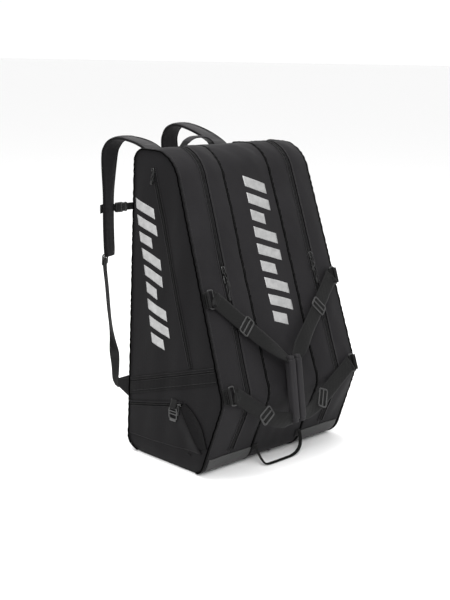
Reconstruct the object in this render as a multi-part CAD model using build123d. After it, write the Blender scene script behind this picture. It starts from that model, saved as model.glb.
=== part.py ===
from build123d import *
import math
import os

# Racket tournament bag: a tall soft case that stands on its base, carried on two shoulder straps or by two
# duffle handles. Millimetres, +Z up, +X across the width, the decorated front towards -Y and the straps at +Y.
# The origin is the centre of the base, on the floor.

# Driving dimensions of the case
HEIGHT = 770.0
BASE_WIDTH = 496.0
TOP_WIDTH = 450.0
BASE_DEPTH = 268.0
BELLY_DEPTH = 338.0  # the deepest level, from the back panel to the front
BELLY_Z = 196.5
FRONT_LEAN = 0.349  # how far the front leans back for each millimetre of height above the belly
NOSE_RADIUS = 88.0
BACK_RADIUS = 30.0
WALL = 5.0  # fabric, foam and lining
SKIRT = 45.0  # height of the base tray
SEAM_X = 90.0  # seams beside the centre panel, at the base
ZIP_X = 167.0  # main zips, at the base
GAP = 0.5  # clearance between pieces that move apart

# Webbing and hardware
HANDLE_WEB = 40.0
STRAP_WEB = 25.0
PAD_WIDTH = 56.0
PAD_THICK = 15.0
WEB_THICK = 2.6

# Where things sit
BACK_Y = BASE_DEPTH / 2
FRONT_Y = -BASE_DEPTH / 2
BELLY_Y = BACK_Y - BELLY_DEPTH
HALF = BASE_WIDTH / 2
HINGE_LOW = (FRONT_Y - 18.0, 50.0)  # (y, z) ends of the fold that each side flap opens about
HINGE_HIGH = (BACK_Y - BACK_RADIUS - 2.0, 762.0)
RING_X = 214.0
RING_Z = (213.0, 432.0)
RING_STAND_OFF = 14.0
GRIP_X = {"left": -26.0, "right": -3.0}
GRIP_SIZE = (17.0, 24.0)  # across and out
GRIP_TOP = (-212.0, 280.0)  # (y, z)
GRIP_BOTTOM = (-236.0, 116.0)
STRAP_X = 117.0
TAB_X = 236.0

os.makedirs("parts", exist_ok=True)


def save(name, *solids):
    """Write one node, made of one solid or of several separate ones."""
    shapes = [solid for group in solids for solid in group.solids()]
    export_step(Compound(children=shapes) if len(shapes) > 1 else shapes[0], f"parts/{name}.step")


def front_y(z):
    """Outer front face at height z, before the nose rounds over."""
    if z < BELLY_Z:
        return FRONT_Y + (BELLY_Y - FRONT_Y) * z / BELLY_Z
    return BELLY_Y + FRONT_LEAN * (z - BELLY_Z)


def taper(z):
    """Width at height z as a share of the width at the base."""
    return 1 - (1 - TOP_WIDTH / BASE_WIDTH) * z / HEIGHT


def prism(points):
    """A (y, z) outline carried right across the width."""
    return extrude(Plane.YZ * make_face(Polyline(*points, close=True)), amount=320, both=True)


def strip(x_low, x_high):
    """Everything between two upright planes that lean in with the sides. Both x are at the base."""
    top = HEIGHT + 40
    low, high = taper(-20), taper(top)
    outline = Polyline(
        (x_low * low, -20), (x_high * low, -20), (x_high * high, top), (x_low * high, top), close=True
    )
    return extrude(Plane.XZ * make_face(outline), amount=600, both=True)


def side_outline(grow):
    """The case seen from the side, with its corners rounded, made larger or smaller by grow."""
    corners = [
        (BACK_Y, 0), (FRONT_Y, 0), (BELLY_Y, BELLY_Z), (front_y(HEIGHT), HEIGHT), (BACK_Y, HEIGHT)
    ]
    face = make_face(Polyline(*corners, close=True))
    for (y, z), radius in zip(corners[2:], (60, NOSE_RADIUS, BACK_RADIUS)):
        corner = face.vertices().sort_by_distance((y, z, 0))[0]
        face = fillet(corner, radius)
    return offset(face, grow) if grow else face


def case(grow=0.0):
    return extrude(Plane.YZ * side_outline(grow), amount=320, both=True)


FAR = 900.0
HINGE_RUN = (HINGE_HIGH[0] - HINGE_LOW[0]) / (HINGE_HIGH[1] - HINGE_LOW[1])


def hinge_y(z):
    return HINGE_LOW[0] + HINGE_RUN * (z - HINGE_LOW[1])


def ahead_of_hinge(clear):
    """Everything on the front side of the flaps' fold."""
    low, high = (hinge_y(-20) - clear, -20), (hinge_y(FAR) - clear, FAR)
    return prism([low, high, (-FAR, FAR), (-FAR, -20)])


def behind_hinge(clear):
    low, high = (hinge_y(-20) + clear, -20), (hinge_y(FAR) + clear, FAR)
    return prism([low, high, (FAR, FAR), (FAR, -20)])


above_skirt = prism([(-FAR, SKIRT), (FAR, SKIRT), (FAR, FAR), (-FAR, FAR)])
BAND_END = BACK_Y - BACK_RADIUS  # the front's panels run over the top to here
front_zone = prism([(-FAR, SKIRT + GAP), (BAND_END, SKIRT + GAP), (BAND_END, FAR), (-FAR, FAR)])
deep_front = prism(  # the same zone without the back panel's own run below the top
    [(-FAR, SKIRT + GAP), (0, SKIRT + GAP), (BAND_END, HEIGHT - 60), (BAND_END, FAR), (-FAR, FAR)]
)
outer_case = case()
inner_case = case(-WALL)
front_shell = (outer_case - inner_case) & deep_front


def shell_strip(x_low, x_high):
    """A front panel between two seams, from the base tray up over the nose to the back edge."""
    return front_shell & strip(x_low, x_high)


def raised_strip(x_low, x_high, height, zone, lift=0.0):
    """A flat trim lying on the front panels."""
    return (case(lift + height) - case(lift)) & strip(x_low, x_high) & zone


def side_plate(outline, inside, outside):
    """A plate on the left side: inside and outside are distances out from the side panel's face."""
    return prism(outline) & strip(-HALF - outside, -HALF - inside)


def to_right(shape):
    return mirror(shape, about=Plane.YZ)


# --- Frame on the sloped front: x across, s up the slope from the belly, n out from the face
SLOPE = math.atan(FRONT_LEAN)
UP_SLOPE = Vector(0, math.sin(SLOPE), math.cos(SLOPE))
OUT_SLOPE = Vector(0, -math.cos(SLOPE), math.sin(SLOPE))


def on_slope(x, z, n=0.0):
    """The point n out from the front face, over the place on it at height z."""
    return Vector(x, front_y(z) if z >= BELLY_Z else BELLY_Y + FRONT_LEAN * (z - BELLY_Z), z) + OUT_SLOPE * n


def slope_box(centre, size_x, size_s, size_n):
    return Plane(origin=centre, x_dir=(1, 0, 0), z_dir=OUT_SLOPE) * Box(size_x, size_s, size_n)


def flat_bar(start, end, width, thick, facing):
    """Straight flat webbing from start to end, its flat side towards facing."""
    along = (end - start).normalized()
    across = facing - along * facing.dot(along)
    centre = (start + end) * 0.5
    return Plane(origin=centre, x_dir=along, z_dir=across) * Box((end - start).length, width, thick)


def ring_frame(centre, along, facing, length, height, bar, thick, slots=1):
    """A flat buckle frame: length runs along, with one slot or two side by side."""
    frame = Box(length, height, thick)
    pitch = (length - bar) / slots
    for index in range(slots):
        middle = -length / 2 + bar / 2 + pitch * (index + 0.5)
        frame -= Pos(middle, 0, 0) * Box(pitch - bar, height - 2 * bar, thick * 2)
    across = facing - along * facing.dot(along)
    return Plane(origin=centre, x_dir=along, z_dir=across) * frame


# --- Case: root pieces
save("base_panel", outer_case & strip(-HALF, HALF) & prism([(-FAR, 0), (FAR, 0), (FAR, WALL), (-FAR, WALL)]))
tray_zone = prism([(-FAR, WALL), (FAR, WALL), (FAR, SKIRT), (-FAR, SKIRT)])
tray = (outer_case & strip(-HALF, HALF)) - (inner_case & strip(-HALF + WALL, HALF - WALL))
save("base_skirt", tray & tray_zone)
strip_zone = prism([(-FAR, 1), (0, 1), (0, SKIRT - 1), (-FAR, SKIRT - 1)])
grey = raised_strip(-HALF + 2, -SEAM_X - 2, 1.6, strip_zone)
save("base_strips", grey, to_right(grey))

back_zone = prism(
    [(BAND_END + GAP, FAR), (BAND_END + GAP, HEIGHT - 60), (0, SKIRT), (FAR, SKIRT), (FAR, FAR)]
)
inside_sides = strip(-HALF + WALL, HALF - WALL)
save("back_panel", (outer_case - inner_case) & back_zone & inside_sides)

side_wall = outer_case & strip(-HALF, -HALF + WALL) & above_skirt
rear_side = side_wall & behind_hinge(GAP / 2)
save("left_side_panel", rear_side)
save("right_side_panel", to_right(rear_side))
inner_gusset = shell_strip(-ZIP_X + GAP / 2, -SEAM_X)
save("left_inner_gusset", inner_gusset)
save("right_inner_gusset", to_right(inner_gusset))
save("centre_panel", shell_strip(-SEAM_X, SEAM_X))
DIVIDER = 3.0
divider_floor = prism([(-FAR, WALL + 1), (FAR, WALL + 1), (FAR, FAR), (-FAR, FAR)])
save("centre_divider", case(-WALL - 1) & strip(-DIVIDER, DIVIDER) & divider_floor)
seam_cord = raised_strip(-SEAM_X - 1.5, -SEAM_X + 1.5, 2.0, front_zone)
save("centre_pipings", seam_cord, to_right(seam_cord))
ZIP_HALF = 9.0
zip_zone = prism([(-FAR, SKIRT + 15), (BAND_END - 8, SKIRT + 15), (BAND_END - 8, FAR), (-FAR, FAR)])
zip_inner = raised_strip(-ZIP_X + GAP / 2, -ZIP_X + ZIP_HALF, 1.2, zip_zone)
save("left_zip_inner", zip_inner)
save("right_zip_inner", to_right(zip_inner))

# --- Side flaps: the outer half of each compartment's opening
flap = side_wall & ahead_of_hinge(GAP / 2)
outer_gusset = shell_strip(-HALF + WALL, -ZIP_X - GAP / 2)
edge_cord = raised_strip(-HALF - 1.0, -HALF + 3.0, 2.4, zip_zone)
zip_outer = raised_strip(-ZIP_X - ZIP_HALF, -ZIP_X - GAP / 2, 1.2, zip_zone)
for name, shape in (("side_flap", flap), ("outer_gusset", outer_gusset), ("edge_piping", edge_cord),
                    ("zip_outer", zip_outer)):
    save(f"left_{name}", shape)
    save(f"right_{name}", to_right(shape))

# --- Left side: band, shoe pocket and its zip, bellows and ladder lock, side pocket zip
BAND_BACK = (BACK_Y - 3, 152.0, 190.0)  # y, lower z, upper z of the band's end
BAND_FRONT = (front_y(280) + 2, 244.0, 280.0)
band_outline = [
    (BAND_BACK[0], BAND_BACK[1]), (BAND_FRONT[0], BAND_FRONT[1]), (BAND_FRONT[0], BAND_FRONT[2]),
    (BAND_BACK[0], BAND_BACK[2]),
]
band = side_plate(band_outline, 0, 2)
BAND_GAP = 2.0  # the band stands proud of the fold's axis, so it needs room to close up as the flap opens
save("left_band_rear", band & behind_hinge(BAND_GAP))
save("left_band_front", band & ahead_of_hinge(BAND_GAP))
SHOE_ZIP = ((BACK_Y - 3, 128.0), (-66.0, 171.0))
zip_drop = 8.0
shoe_zip = [SHOE_ZIP[0], SHOE_ZIP[1], (SHOE_ZIP[1][0], SHOE_ZIP[1][1] - zip_drop), (SHOE_ZIP[0][0], 128 - zip_drop)]
save("shoe_pocket_zip", side_plate(shoe_zip, 0, 1.2))
pocket = [(SHOE_ZIP[0][0], 118), (-62, 160), (-118, 80), (-122, 50), (SHOE_ZIP[0][0], 50)]
save("shoe_pocket", side_plate(pocket, 0, 2))
bellows = [(-66, 162), (-84, 166), (-108, 140), (-132, 84), (-124, 82), (-106, 101)]
save("bellows_gusset", side_plate(bellows, 0, 2))
SIDE_ZIP = ((56.0, 712.0), (-92.0, 262.0))
side_run = Vector(0, SIDE_ZIP[1][0] - SIDE_ZIP[0][0], SIDE_ZIP[1][1] - SIDE_ZIP[0][1]).normalized()
zip_side = 5.0
side_zip = [(y + dy, z) for (y, z), dy in zip(SIDE_ZIP * 2, (zip_side, zip_side, -zip_side, -zip_side))]
side_zip = [side_zip[0], side_zip[1], side_zip[3], side_zip[2]]
save("side_pocket_zip", side_plate(side_zip, 0, 1.2))


def along_side_zip(distance, half_width):
    """The two points either side of the side pocket zip, at a distance down it."""
    centre = Vector(0, *SIDE_ZIP[0]) + side_run * distance
    cross = Vector(0, side_run.Z, -side_run.Y) * half_width
    return [((centre - cross).Y, (centre - cross).Z), ((centre + cross).Y, (centre + cross).Z)]


def side_zip_plate(start, end, half_width, inside, outside):
    low, high = along_side_zip(start, half_width), along_side_zip(end, half_width)
    return side_plate([low[0], low[1], high[1], high[0]], inside, outside)


save("side_pocket_slider", side_zip_plate(4, 18, 4.5, 1.6, 5.0))
save("side_pocket_pull", side_zip_plate(19, 52, 2.5, 2.0, 4.5))
shoe_rise = (SHOE_ZIP[1][1] - SHOE_ZIP[0][1]) / (SHOE_ZIP[1][0] - SHOE_ZIP[0][0])


def shoe_plate(y_low, y_high, drop_low, drop_high, inside, outside):
    """A plate that follows the shoe pocket zip, between two distances under its upper edge."""
    edge = [(y, 128 + shoe_rise * (y - SHOE_ZIP[0][0])) for y in (y_low, y_high)]
    return side_plate(
        [(edge[0][0], edge[0][1] - drop_low), (edge[1][0], edge[1][1] - drop_low),
         (edge[1][0], edge[1][1] - drop_high), (edge[0][0], edge[0][1] - drop_high)], inside, outside
    )


slider_body = shoe_plate(-62, -48, 0, 9, 2.4, 5.4)
slider_tag = shoe_plate(-58, -52, 9, 30, 2.4, 4.4)
save("shoe_zip_slider", slider_body + slider_tag)
LOCK_Y = (-22.0, -54.0)
LOCK_Z = (120.0, 154.0)
lock = side_plate([(LOCK_Y[0], LOCK_Z[1]), (LOCK_Y[1], LOCK_Z[1]), (LOCK_Y[1], 132), (-46, LOCK_Z[0]),
                   (-30, LOCK_Z[0]), (LOCK_Y[0], 132)], 6.4, 10.4)
for z_low, z_high in ((145, 150), (134, 141)):
    lock -= prism([(-26, z_low), (-50, z_low), (-50, z_high), (-26, z_high)])
save("ladder_lock", lock)

# --- Duffle handles
ring_axis = (on_slope(0, RING_Z[1], RING_STAND_OFF) - on_slope(0, RING_Z[0], RING_STAND_OFF)).normalized()
RING_HEIGHT = 48.0
RING_WIDTH = 20.0
GLIDE_SHARE = (0.6, 0.42)  # how far along the lower and upper webbing each tri-glide sits


def handle(side):
    """Rings, tri-glides, webbing and grip of one handle. The left one sits at negative x."""
    sign = -1 if side == "left" else 1
    grip_x = GRIP_X[side]
    grip_ends = [Vector(grip_x, *GRIP_BOTTOM), Vector(grip_x, *GRIP_TOP)]
    hardware, webbing, anchors = [], [], []
    for ring_z, grip_end, turn, glide_share in zip(RING_Z, grip_ends, (-1, 1), GLIDE_SHARE):
        ring = on_slope(sign * RING_X, ring_z, RING_STAND_OFF)
        inward = Vector(-sign, 0, 0)
        hardware.append(ring_frame(ring, inward, OUT_SLOPE, RING_WIDTH, RING_HEIGHT, 3.5, 3.5))
        start = ring + inward * (RING_WIDTH / 2 + 0.4)
        end = grip_end + Vector(sign * 2.0, 0, turn * 4.0)
        run = flat_bar(start, end, HANDLE_WEB, WEB_THICK, OUT_SLOPE)
        webbing.append(run - slope_box(ring, RING_WIDTH + 0.8, 100, 20))
        along = (end - start).normalized()
        lift = (OUT_SLOPE - along * OUT_SLOPE.dot(along)).normalized()
        glide = start + (end - start) * glide_share + lift * 3.4
        hardware.append(ring_frame(glide, along, OUT_SLOPE, 26.0, 46.0, 4.0, 3.6, slots=2))
        seam = on_slope(sign * (HALF * taper(ring_z) - 5), ring_z, 4.0)
        anchors.append(flat_bar(seam, ring - inward * (RING_WIDTH / 2 + 3.5), 44.0, 3.2, OUT_SLOPE))
    rise = (grip_ends[1] - grip_ends[0]).normalized()
    body = Plane(origin=(grip_ends[0] + grip_ends[1]) * 0.5, x_dir=(1, 0, 0), z_dir=rise)
    grip = Box(*GRIP_SIZE, (grip_ends[1] - grip_ends[0]).length)
    grip = body * fillet(grip.edges().filter_by(Axis.Z), 7)
    webbing = [run - body * Box(GRIP_SIZE[0] + 0.6, GRIP_SIZE[1] + 0.6, 400) for run in webbing]
    save(f"{side}_handle_hardware", *hardware)
    save(f"{side}_handle_webbing", *webbing)
    save(f"{side}_grip", grip)
    save(f"{side}_handle_anchors", *anchors)


handle("left")
handle("right")

# --- Main zip sliders and their pulls
SLIDER_Z = {"upper": 492.0, "lower": 470.0}


def zip_line_x(z):
    return -ZIP_X * taper(z)


for level, z in SLIDER_Z.items():
    offset_x = 2.6 if level == "upper" else -2.6
    lift_n = 7.8 if level == "upper" else 4.2
    slider = slope_box(on_slope(zip_line_x(z) + 6.2, z, 3.8), 9.6, 15.0, 4.0)
    pull_top = z - 9.2 if level == "lower" else z
    pull = slope_box(on_slope(zip_line_x(z) + 6.2 + offset_x, pull_top - 21, lift_n), 4.2, 42.0, 2.6)
    save(f"left_{level}_slider", slider)
    save(f"right_{level}_slider", to_right(slider))
    save(f"left_{level}_pull", pull)
    save(f"right_{level}_pull", to_right(pull))

# --- Back: yoke, haul handle, shoulder straps, sternum strap, lower tabs
YOKE_Z = (650.0, 700.0)
yoke = Pos(0, BACK_Y + 2.8, sum(YOKE_Z) / 2) * Box(310, 5, YOKE_Z[1] - YOKE_Z[0])
save("strap_yoke", yoke)
HAUL_HALF = 66.0
HAUL_Y = (BACK_Y + 7.0, BACK_Y + 31.0)
HAUL_Z = (704.0, 789.0)


def arch(half_width, top, corner):
    outline = Polyline((-half_width, HAUL_Z[0]), (half_width, HAUL_Z[0]), (half_width, top),
                       (-half_width, top), close=True)
    face = make_face(outline)
    return fillet(face.vertices().sort_by(Axis.Y)[-2:], corner)


haul = arch(HAUL_HALF, HAUL_Z[1], 34) - arch(HAUL_HALF - 4, HAUL_Z[1] - 4, 30)
haul = extrude(Plane.XZ.offset(-HAUL_Y[0]) * haul, amount=-(HAUL_Y[1] - HAUL_Y[0]))
save("haul_handle", haul)


def thick_line(points, thick):
    """The outline of a ribbon of even thickness along (y, z) points, mitred at its bends."""
    sides = ([], [])
    for index, (y, z) in enumerate(points):
        before = points[max(index - 1, 0)]
        after = points[min(index + 1, len(points) - 1)]
        arms = [(y - before[0], z - before[1]), (after[0] - y, after[1] - z)]
        arms = [(a / math.hypot(a, b), b / math.hypot(a, b)) for a, b in arms if (a, b) != (0, 0)]
        normal = (-sum(b for a, b in arms), sum(a for a, b in arms))
        size = math.hypot(*normal)
        normal = (normal[0] / size, normal[1] / size)
        mitre = normal[0] * -arms[0][1] + normal[1] * arms[0][0]
        for side, sign in zip(sides, (1, -1)):
            reach = sign * thick / 2 / mitre
            side.append((y + normal[0] * reach, z + normal[1] * reach))
    return sides[0] + sides[1][::-1]


PAD_LINE = [(157, 716), (170, 738), (196, 758), (240, 772), (300, 778), (336, 770), (358, 752),
            (369, 725), (374, 640), (375, 540), (371, 455)]
pad = extrude(Plane.YZ * make_face(Polyline(*thick_line(PAD_LINE, PAD_THICK), close=True)),
              amount=PAD_WIDTH / 2, both=True)
LOCK_CENTRE = Vector(-STRAP_X - 3, 388, 444)
TAB_TIP = Vector(-TAB_X, 199, 163)
WEB_LINE = [Vector(-STRAP_X, 370, 446), Vector(-136, 352, 372), Vector(-160, 318, 308),
            Vector(-188, 272, 252), TAB_TIP + Vector(1, 4, 3)]
web = None
for start, end in zip(WEB_LINE, WEB_LINE[1:]):
    stretch = (end - start).normalized() * 1.5
    bar = flat_bar(start, end + stretch, STRAP_WEB, WEB_THICK, Vector(0.35, 0.9, 0.25))
    web = bar if web is None else web + bar
strap_lock = ring_frame(LOCK_CENTRE, Vector(0, -0.1, 1), Vector(0, 1, 0.1), 34.0, 34.0, 4.0, 4.0, slots=2)
sternum_slide = Pos(-STRAP_X, 375 + PAD_THICK / 2 + 3, 584) * Box(PAD_WIDTH + 6, 4, 26)
tab = prism([(BACK_Y + 0.4, 128), (BACK_Y + 0.4, 200), (196, 172), (196, 154)]) & (
    Pos(-TAB_X + 1.5, 160, 160) * Box(3, 200, 200))
save("strap_tabs", tab, to_right(tab))
left_pad = Pos(-STRAP_X, 0, 0) * pad
for side, move in (("left", lambda shape: shape), ("right", to_right)):
    save(f"{side}_strap_pad", move(left_pad))
    save(f"{side}_strap_web", move(web))
    save(f"{side}_strap_hardware", move(strap_lock), move(sternum_slide))
STERNUM_Z = 584.0
STERNUM_Y = 376.0
STERNUM_END = STRAP_X - PAD_WIDTH / 2 - 5
buckle_x = -STERNUM_END
female = Pos(buckle_x + 10, STERNUM_Y, STERNUM_Z) * Box(20, 10, 28)
male = Pos(buckle_x + 28.2, STERNUM_Y, STERNUM_Z) * Box(16, 8, 26)
save("sternum_buckle", female, male)
web_start = buckle_x + 36.4
sternum = Pos((web_start + STERNUM_END) / 2, STERNUM_Y, STERNUM_Z) * Box(STERNUM_END - web_start, 2.6, 20)
save("sternum_web", sternum)

# --- Grab loop at the foot of the front, lying on the floor
LOOP_HALF = 80.0
loop_top = Vector(-LOOP_HALF, front_y(38) - 5, 38)
loop_low = Vector(-LOOP_HALF + 12, -183, 2.2)
leg = flat_bar(loop_top, loop_low, 14, 2.4, Vector(0, -1, 1))
cross = Pos(0, -183, 1.7) * Box(2 * LOOP_HALF - 24 + 14, 14, 2.8)
loop = leg + to_right(leg) + cross
floor = Pos(0, 0, -50) * Box(1000, 1000, 100.6)
save("base_loop", loop - floor)
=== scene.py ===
import math

import bpy
import numpy as np
from mathutils import Matrix, Vector


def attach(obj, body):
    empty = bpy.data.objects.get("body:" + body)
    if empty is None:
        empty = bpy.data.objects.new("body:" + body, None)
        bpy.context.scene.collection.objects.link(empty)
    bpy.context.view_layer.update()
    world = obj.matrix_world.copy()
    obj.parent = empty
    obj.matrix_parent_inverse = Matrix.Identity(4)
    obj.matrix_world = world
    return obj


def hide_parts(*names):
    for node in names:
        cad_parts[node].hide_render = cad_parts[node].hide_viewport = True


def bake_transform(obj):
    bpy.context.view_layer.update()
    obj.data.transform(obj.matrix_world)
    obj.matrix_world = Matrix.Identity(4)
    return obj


# A racket tournament bag. The shapes below are in millimetres and become metres in make(). +Z is up, +X is
# across the width, the decorated front faces -Y and the straps are at +Y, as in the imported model.
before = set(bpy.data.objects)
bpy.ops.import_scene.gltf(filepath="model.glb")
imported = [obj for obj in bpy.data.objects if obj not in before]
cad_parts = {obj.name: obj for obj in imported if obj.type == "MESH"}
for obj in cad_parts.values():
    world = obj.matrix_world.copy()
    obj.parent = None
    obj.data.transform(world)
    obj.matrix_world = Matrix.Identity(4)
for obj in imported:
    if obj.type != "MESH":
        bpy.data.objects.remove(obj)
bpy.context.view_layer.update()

X_AXIS = np.array([1.0, 0, 0])
Y_AXIS = np.array([0, 1.0, 0])
Z_AXIS = np.array([0, 0, 1.0])
SIDES = (("left", -1), ("right", 1))
LEFT = -1

# Case
HEIGHT = 770.0
TAPER = 1 - 450.0 / 496.0
HALF = 248.0
SEAM_X = 90.0
ZIP_X = 167.0
SKIRT = 45.0
BACK_Y = 134.0
FRONT_Y = -134.0
BELLY_Y = -204.0
BELLY_Z = 196.5
LEAN = 0.349
PANEL_THICK = 4.0
CORNER_RADII = (50, 60, 88, 30, 42)  # front foot, belly, front top, back top, back foot
FOOT_HIGH = 38.0  # below this the sides tuck under
FOOT_TUCK = 0.045
BAND_END = 104.0  # the front's panels run over the top to this y

# Fold of the side flaps, (y, z) at its ends, and how wide the fabric bends there
FOLD_LOW = (-152.0, 50.0)
FOLD_HIGH = (102.0, 762.0)
FOLD_WIDTH = 26.0

PUFF_FRAMES = 20  # length of the cloth simulations
CAP_BULGE = 0.025  # height of a sweep's end caps, as a share of its width


# --- Mesh helpers
def make(name, verts, faces, materials, face_material=None, uv=None):
    """A mesh object from points in millimetres."""
    mesh = bpy.data.meshes.new(name)
    verts = np.asarray(verts, float).reshape(-1, 3) * 0.001
    mesh.from_pydata(verts.tolist(), [], [tuple(int(i) for i in face) for face in faces])
    for material in materials:
        mesh.materials.append(material)
    if face_material is not None:
        mesh.polygons.foreach_set("material_index", np.asarray(face_material, np.int32))
    if uv is not None:
        layer = mesh.uv_layers.new(name="surface")
        corners = np.empty(len(mesh.loops), np.int32)
        mesh.loops.foreach_get("vertex_index", corners)
        layer.data.foreach_set("uv", np.asarray(uv, np.float32)[corners].ravel())
    mesh.polygons.foreach_set("use_smooth", [True] * len(mesh.polygons))
    mesh.validate()
    piece = bpy.data.objects.new(name, mesh)
    bpy.context.scene.collection.objects.link(piece)
    return piece


def join(pieces, name=None):
    """One piece from several. Materials are kept, and the name is the first piece's unless one is given."""
    first = pieces[0]
    with bpy.context.temp_override(active_object=first, selected_editable_objects=pieces):
        bpy.ops.object.join()
    if name:
        first.name = name
    return first


def grid_faces(rows, columns, start=0, flip=False, ring=False):
    """Quads over a rows by columns grid of points. With ring, the last column joins the first."""
    faces = []
    for i in range(rows - 1):
        here, above = start + i * columns, start + (i + 1) * columns
        for j in range(columns if ring else columns - 1):
            k = (j + 1) % columns
            quad = (here + j, here + k, above + k, above + j)
            faces.append(quad[::-1] if flip else quad)
    return faces


def slab(name, outer, inner, outside, inside=None, flip=False):
    """A closed sheet between two grids of points: outer is seen, inner is the lining side."""
    rows, columns = outer.shape[:2]
    count = rows * columns
    faces = grid_faces(rows, columns, 0, flip) + grid_faces(rows, columns, count, not flip)
    marks = [0] * (len(faces) // 2) + [1] * (len(faces) // 2)
    grid = np.arange(count).reshape(rows, columns)
    border = [*grid[0], *grid[1:, -1], *grid[-1, -2::-1], *grid[-2:0:-1, 0]]
    for a, b in zip(border, border[1:] + border[:1]):
        quad = (b, a, a + count, b + count)
        faces.append(quad[::-1] if flip else quad)
        marks.append(0)
    verts = np.concatenate([outer.reshape(-1, 3), inner.reshape(-1, 3)])
    return make(name, verts, faces, [outside, inside or outside], marks)


def unit(vectors):
    vectors = np.asarray(vectors, float)
    return vectors / np.maximum(np.linalg.norm(vectors, axis=-1, keepdims=True), 1e-9)


def square_to(along, out):
    """The direction nearest to out that is square to along."""
    return unit(out - along * np.dot(out, along))


def headings(path):
    return unit(np.gradient(path, axis=0))


def run_lengths(path):
    return np.concatenate([[0], np.cumsum(np.linalg.norm(np.diff(path, axis=0), axis=1))])


def run_shares(path):
    lengths = run_lengths(path)
    return lengths / lengths[-1]


def smooth_path(points, step):
    """A smooth curve through points, sampled about every step millimetres."""
    points = np.asarray(points, float)
    ends = np.concatenate([[2 * points[0] - points[1]], points, [2 * points[-1] - points[-2]]])
    found = []
    for a, b, c, d in zip(ends, ends[1:], ends[2:], ends[3:]):
        count = max(2, int(np.linalg.norm(c - b) / step))
        t = np.linspace(0, 1, count, endpoint=False)[:, None]
        found.append(0.5 * (2 * b + (c - a) * t + (2 * a - 5 * b + 4 * c - d) * t**2
                            + (3 * b - a - 3 * c + d) * t**3))
    return np.concatenate([*found, points[-1:]])


def sweep_grid(path, section, facing, closed=False):
    """Points of a section carried along path: (across, out) pairs, one list or a list per path point."""
    path = np.asarray(path, float)
    along = unit(np.roll(path, -1, 0) - np.roll(path, 1, 0)) if closed else headings(path)
    facing = np.broadcast_to(np.asarray(facing, float), path.shape)
    out = unit(facing - along * np.sum(facing * along, 1, keepdims=True))
    across = np.cross(along, out)
    section = np.asarray(section, float)
    if section.ndim == 2:
        section = np.broadcast_to(section, (len(path), *section.shape))
    return path[:, None] + across[:, None] * section[..., :1] + out[:, None] * section[..., 1:]


def sweep(name, path, section, facing, material, closed=False, column_marks=None):
    """A solid swept along path, capped at open ends. Material is one, or a list with column_marks."""
    grid = sweep_grid(path, section, facing, closed)
    rows, columns = grid.shape[:2]
    verts = grid.reshape(-1, 3)
    faces = grid_faces(rows, columns, ring=True)
    uv = np.stack([np.repeat(run_lengths(path), columns), np.tile(run_lengths(grid[0]), rows)], 1) * 0.001
    last = (rows - 1) * columns
    pairs = [(j, (j + 1) % columns) for j in range(columns)]
    if closed:
        faces += [(last + j, last + k, k, j) for j, k in pairs]
    else:
        bulge = CAP_BULGE * np.linalg.norm(grid[0].max(0) - grid[0].min(0))
        caps = [grid[0].mean(0) + unit(path[0] - path[1]) * bulge,
                grid[-1].mean(0) + unit(path[-1] - path[-2]) * bulge]
        start = len(verts)
        verts = np.concatenate([verts, caps])
        uv = np.concatenate([uv, uv[:1], uv[-1:]])
        faces += [(k, j, start) for j, k in pairs]
        faces += [(last + j, last + k, start + 1) for j, k in pairs]
    materials = material if isinstance(material, list) else [material]
    marks = None if column_marks is None else np.resize(column_marks, len(faces))
    return make(name, verts, [face[::-1] for face in faces], materials, marks, uv)


def oval(width, height, count=12, power=2.0):
    """A closed section. Power 2 is an ellipse, and more is squarer."""
    angle = np.linspace(0, 2 * math.pi, count, endpoint=False)
    c, s = np.cos(angle), np.sin(angle)
    return np.stack([np.sign(c) * np.abs(c) ** (2 / power) * width / 2,
                     np.sign(s) * np.abs(s) ** (2 / power) * height / 2], 1)


def flat_section(width, thick, count=7, crown=0.0):
    """A ribbon's section with rounded edges: flat, or thicker in the middle by crown."""
    x = np.linspace(-1, 1, count)
    edge = (np.sqrt(np.clip(1 - np.abs(x) ** 6, 0, 1)) * 0.5 + 0.05) * thick
    upper = np.stack([x * width / 2, edge + crown * (1 - x**2)], 1)
    lower = np.stack([x[::-1] * width / 2, -edge[::-1]], 1)
    return np.concatenate([upper, lower])


def scatter(name, template, faces, places, along, out, material):
    """Copies of a small closed shape. Its axes are along, across and out."""
    along, out = unit(along), unit(out)
    out = unit(out - along * np.sum(out * along, 1, keepdims=True))
    axes = (along, np.cross(out, along), out)
    template = np.asarray(template, float)
    verts = places[:, None] + sum(axis[:, None] * template[None, :, k:k + 1] for k, axis in enumerate(axes))
    count = len(template)
    found = [tuple(i + k * count for i in face) for k in range(len(places)) for face in faces]
    return make(name, verts, found, [material])


def bead(length, width, height):
    """A short raised lozenge, for a stitch or a zip tooth."""
    x, y = length / 2, width / 2
    verts = [(-x, 0, 0), (-x * 0.6, -y, 0), (x * 0.6, -y, 0), (x, 0, 0), (x * 0.6, y, 0), (-x * 0.6, y, 0),
             (-x * 0.55, -y * 0.5, height), (x * 0.55, -y * 0.5, height), (x * 0.55, y * 0.5, height),
             (-x * 0.55, y * 0.5, height)]
    faces = [(0, 5, 4, 3, 2, 1), (1, 2, 7, 6), (4, 5, 9, 8), (6, 7, 8, 9), (0, 1, 6), (0, 6, 9), (0, 9, 5),
             (2, 3, 7), (3, 8, 7), (3, 4, 8)]
    return verts, faces


def stitches(name, path, out, pitch=4.4):
    """A row of stitches along path."""
    lengths = run_lengths(path)
    marks = np.arange(pitch / 2, lengths[-1], pitch)

    def sample(shift, values):
        return np.stack([np.interp(marks + shift, lengths, values[:, k]) for k in range(3)], 1)

    out = np.broadcast_to(np.asarray(out, float), path.shape)
    along = sample(1, path) - sample(-1, path)
    return scatter(name, *bead(3.1, 0.9, 0.55), sample(0, path), along, sample(0, out), THREAD)


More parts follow.
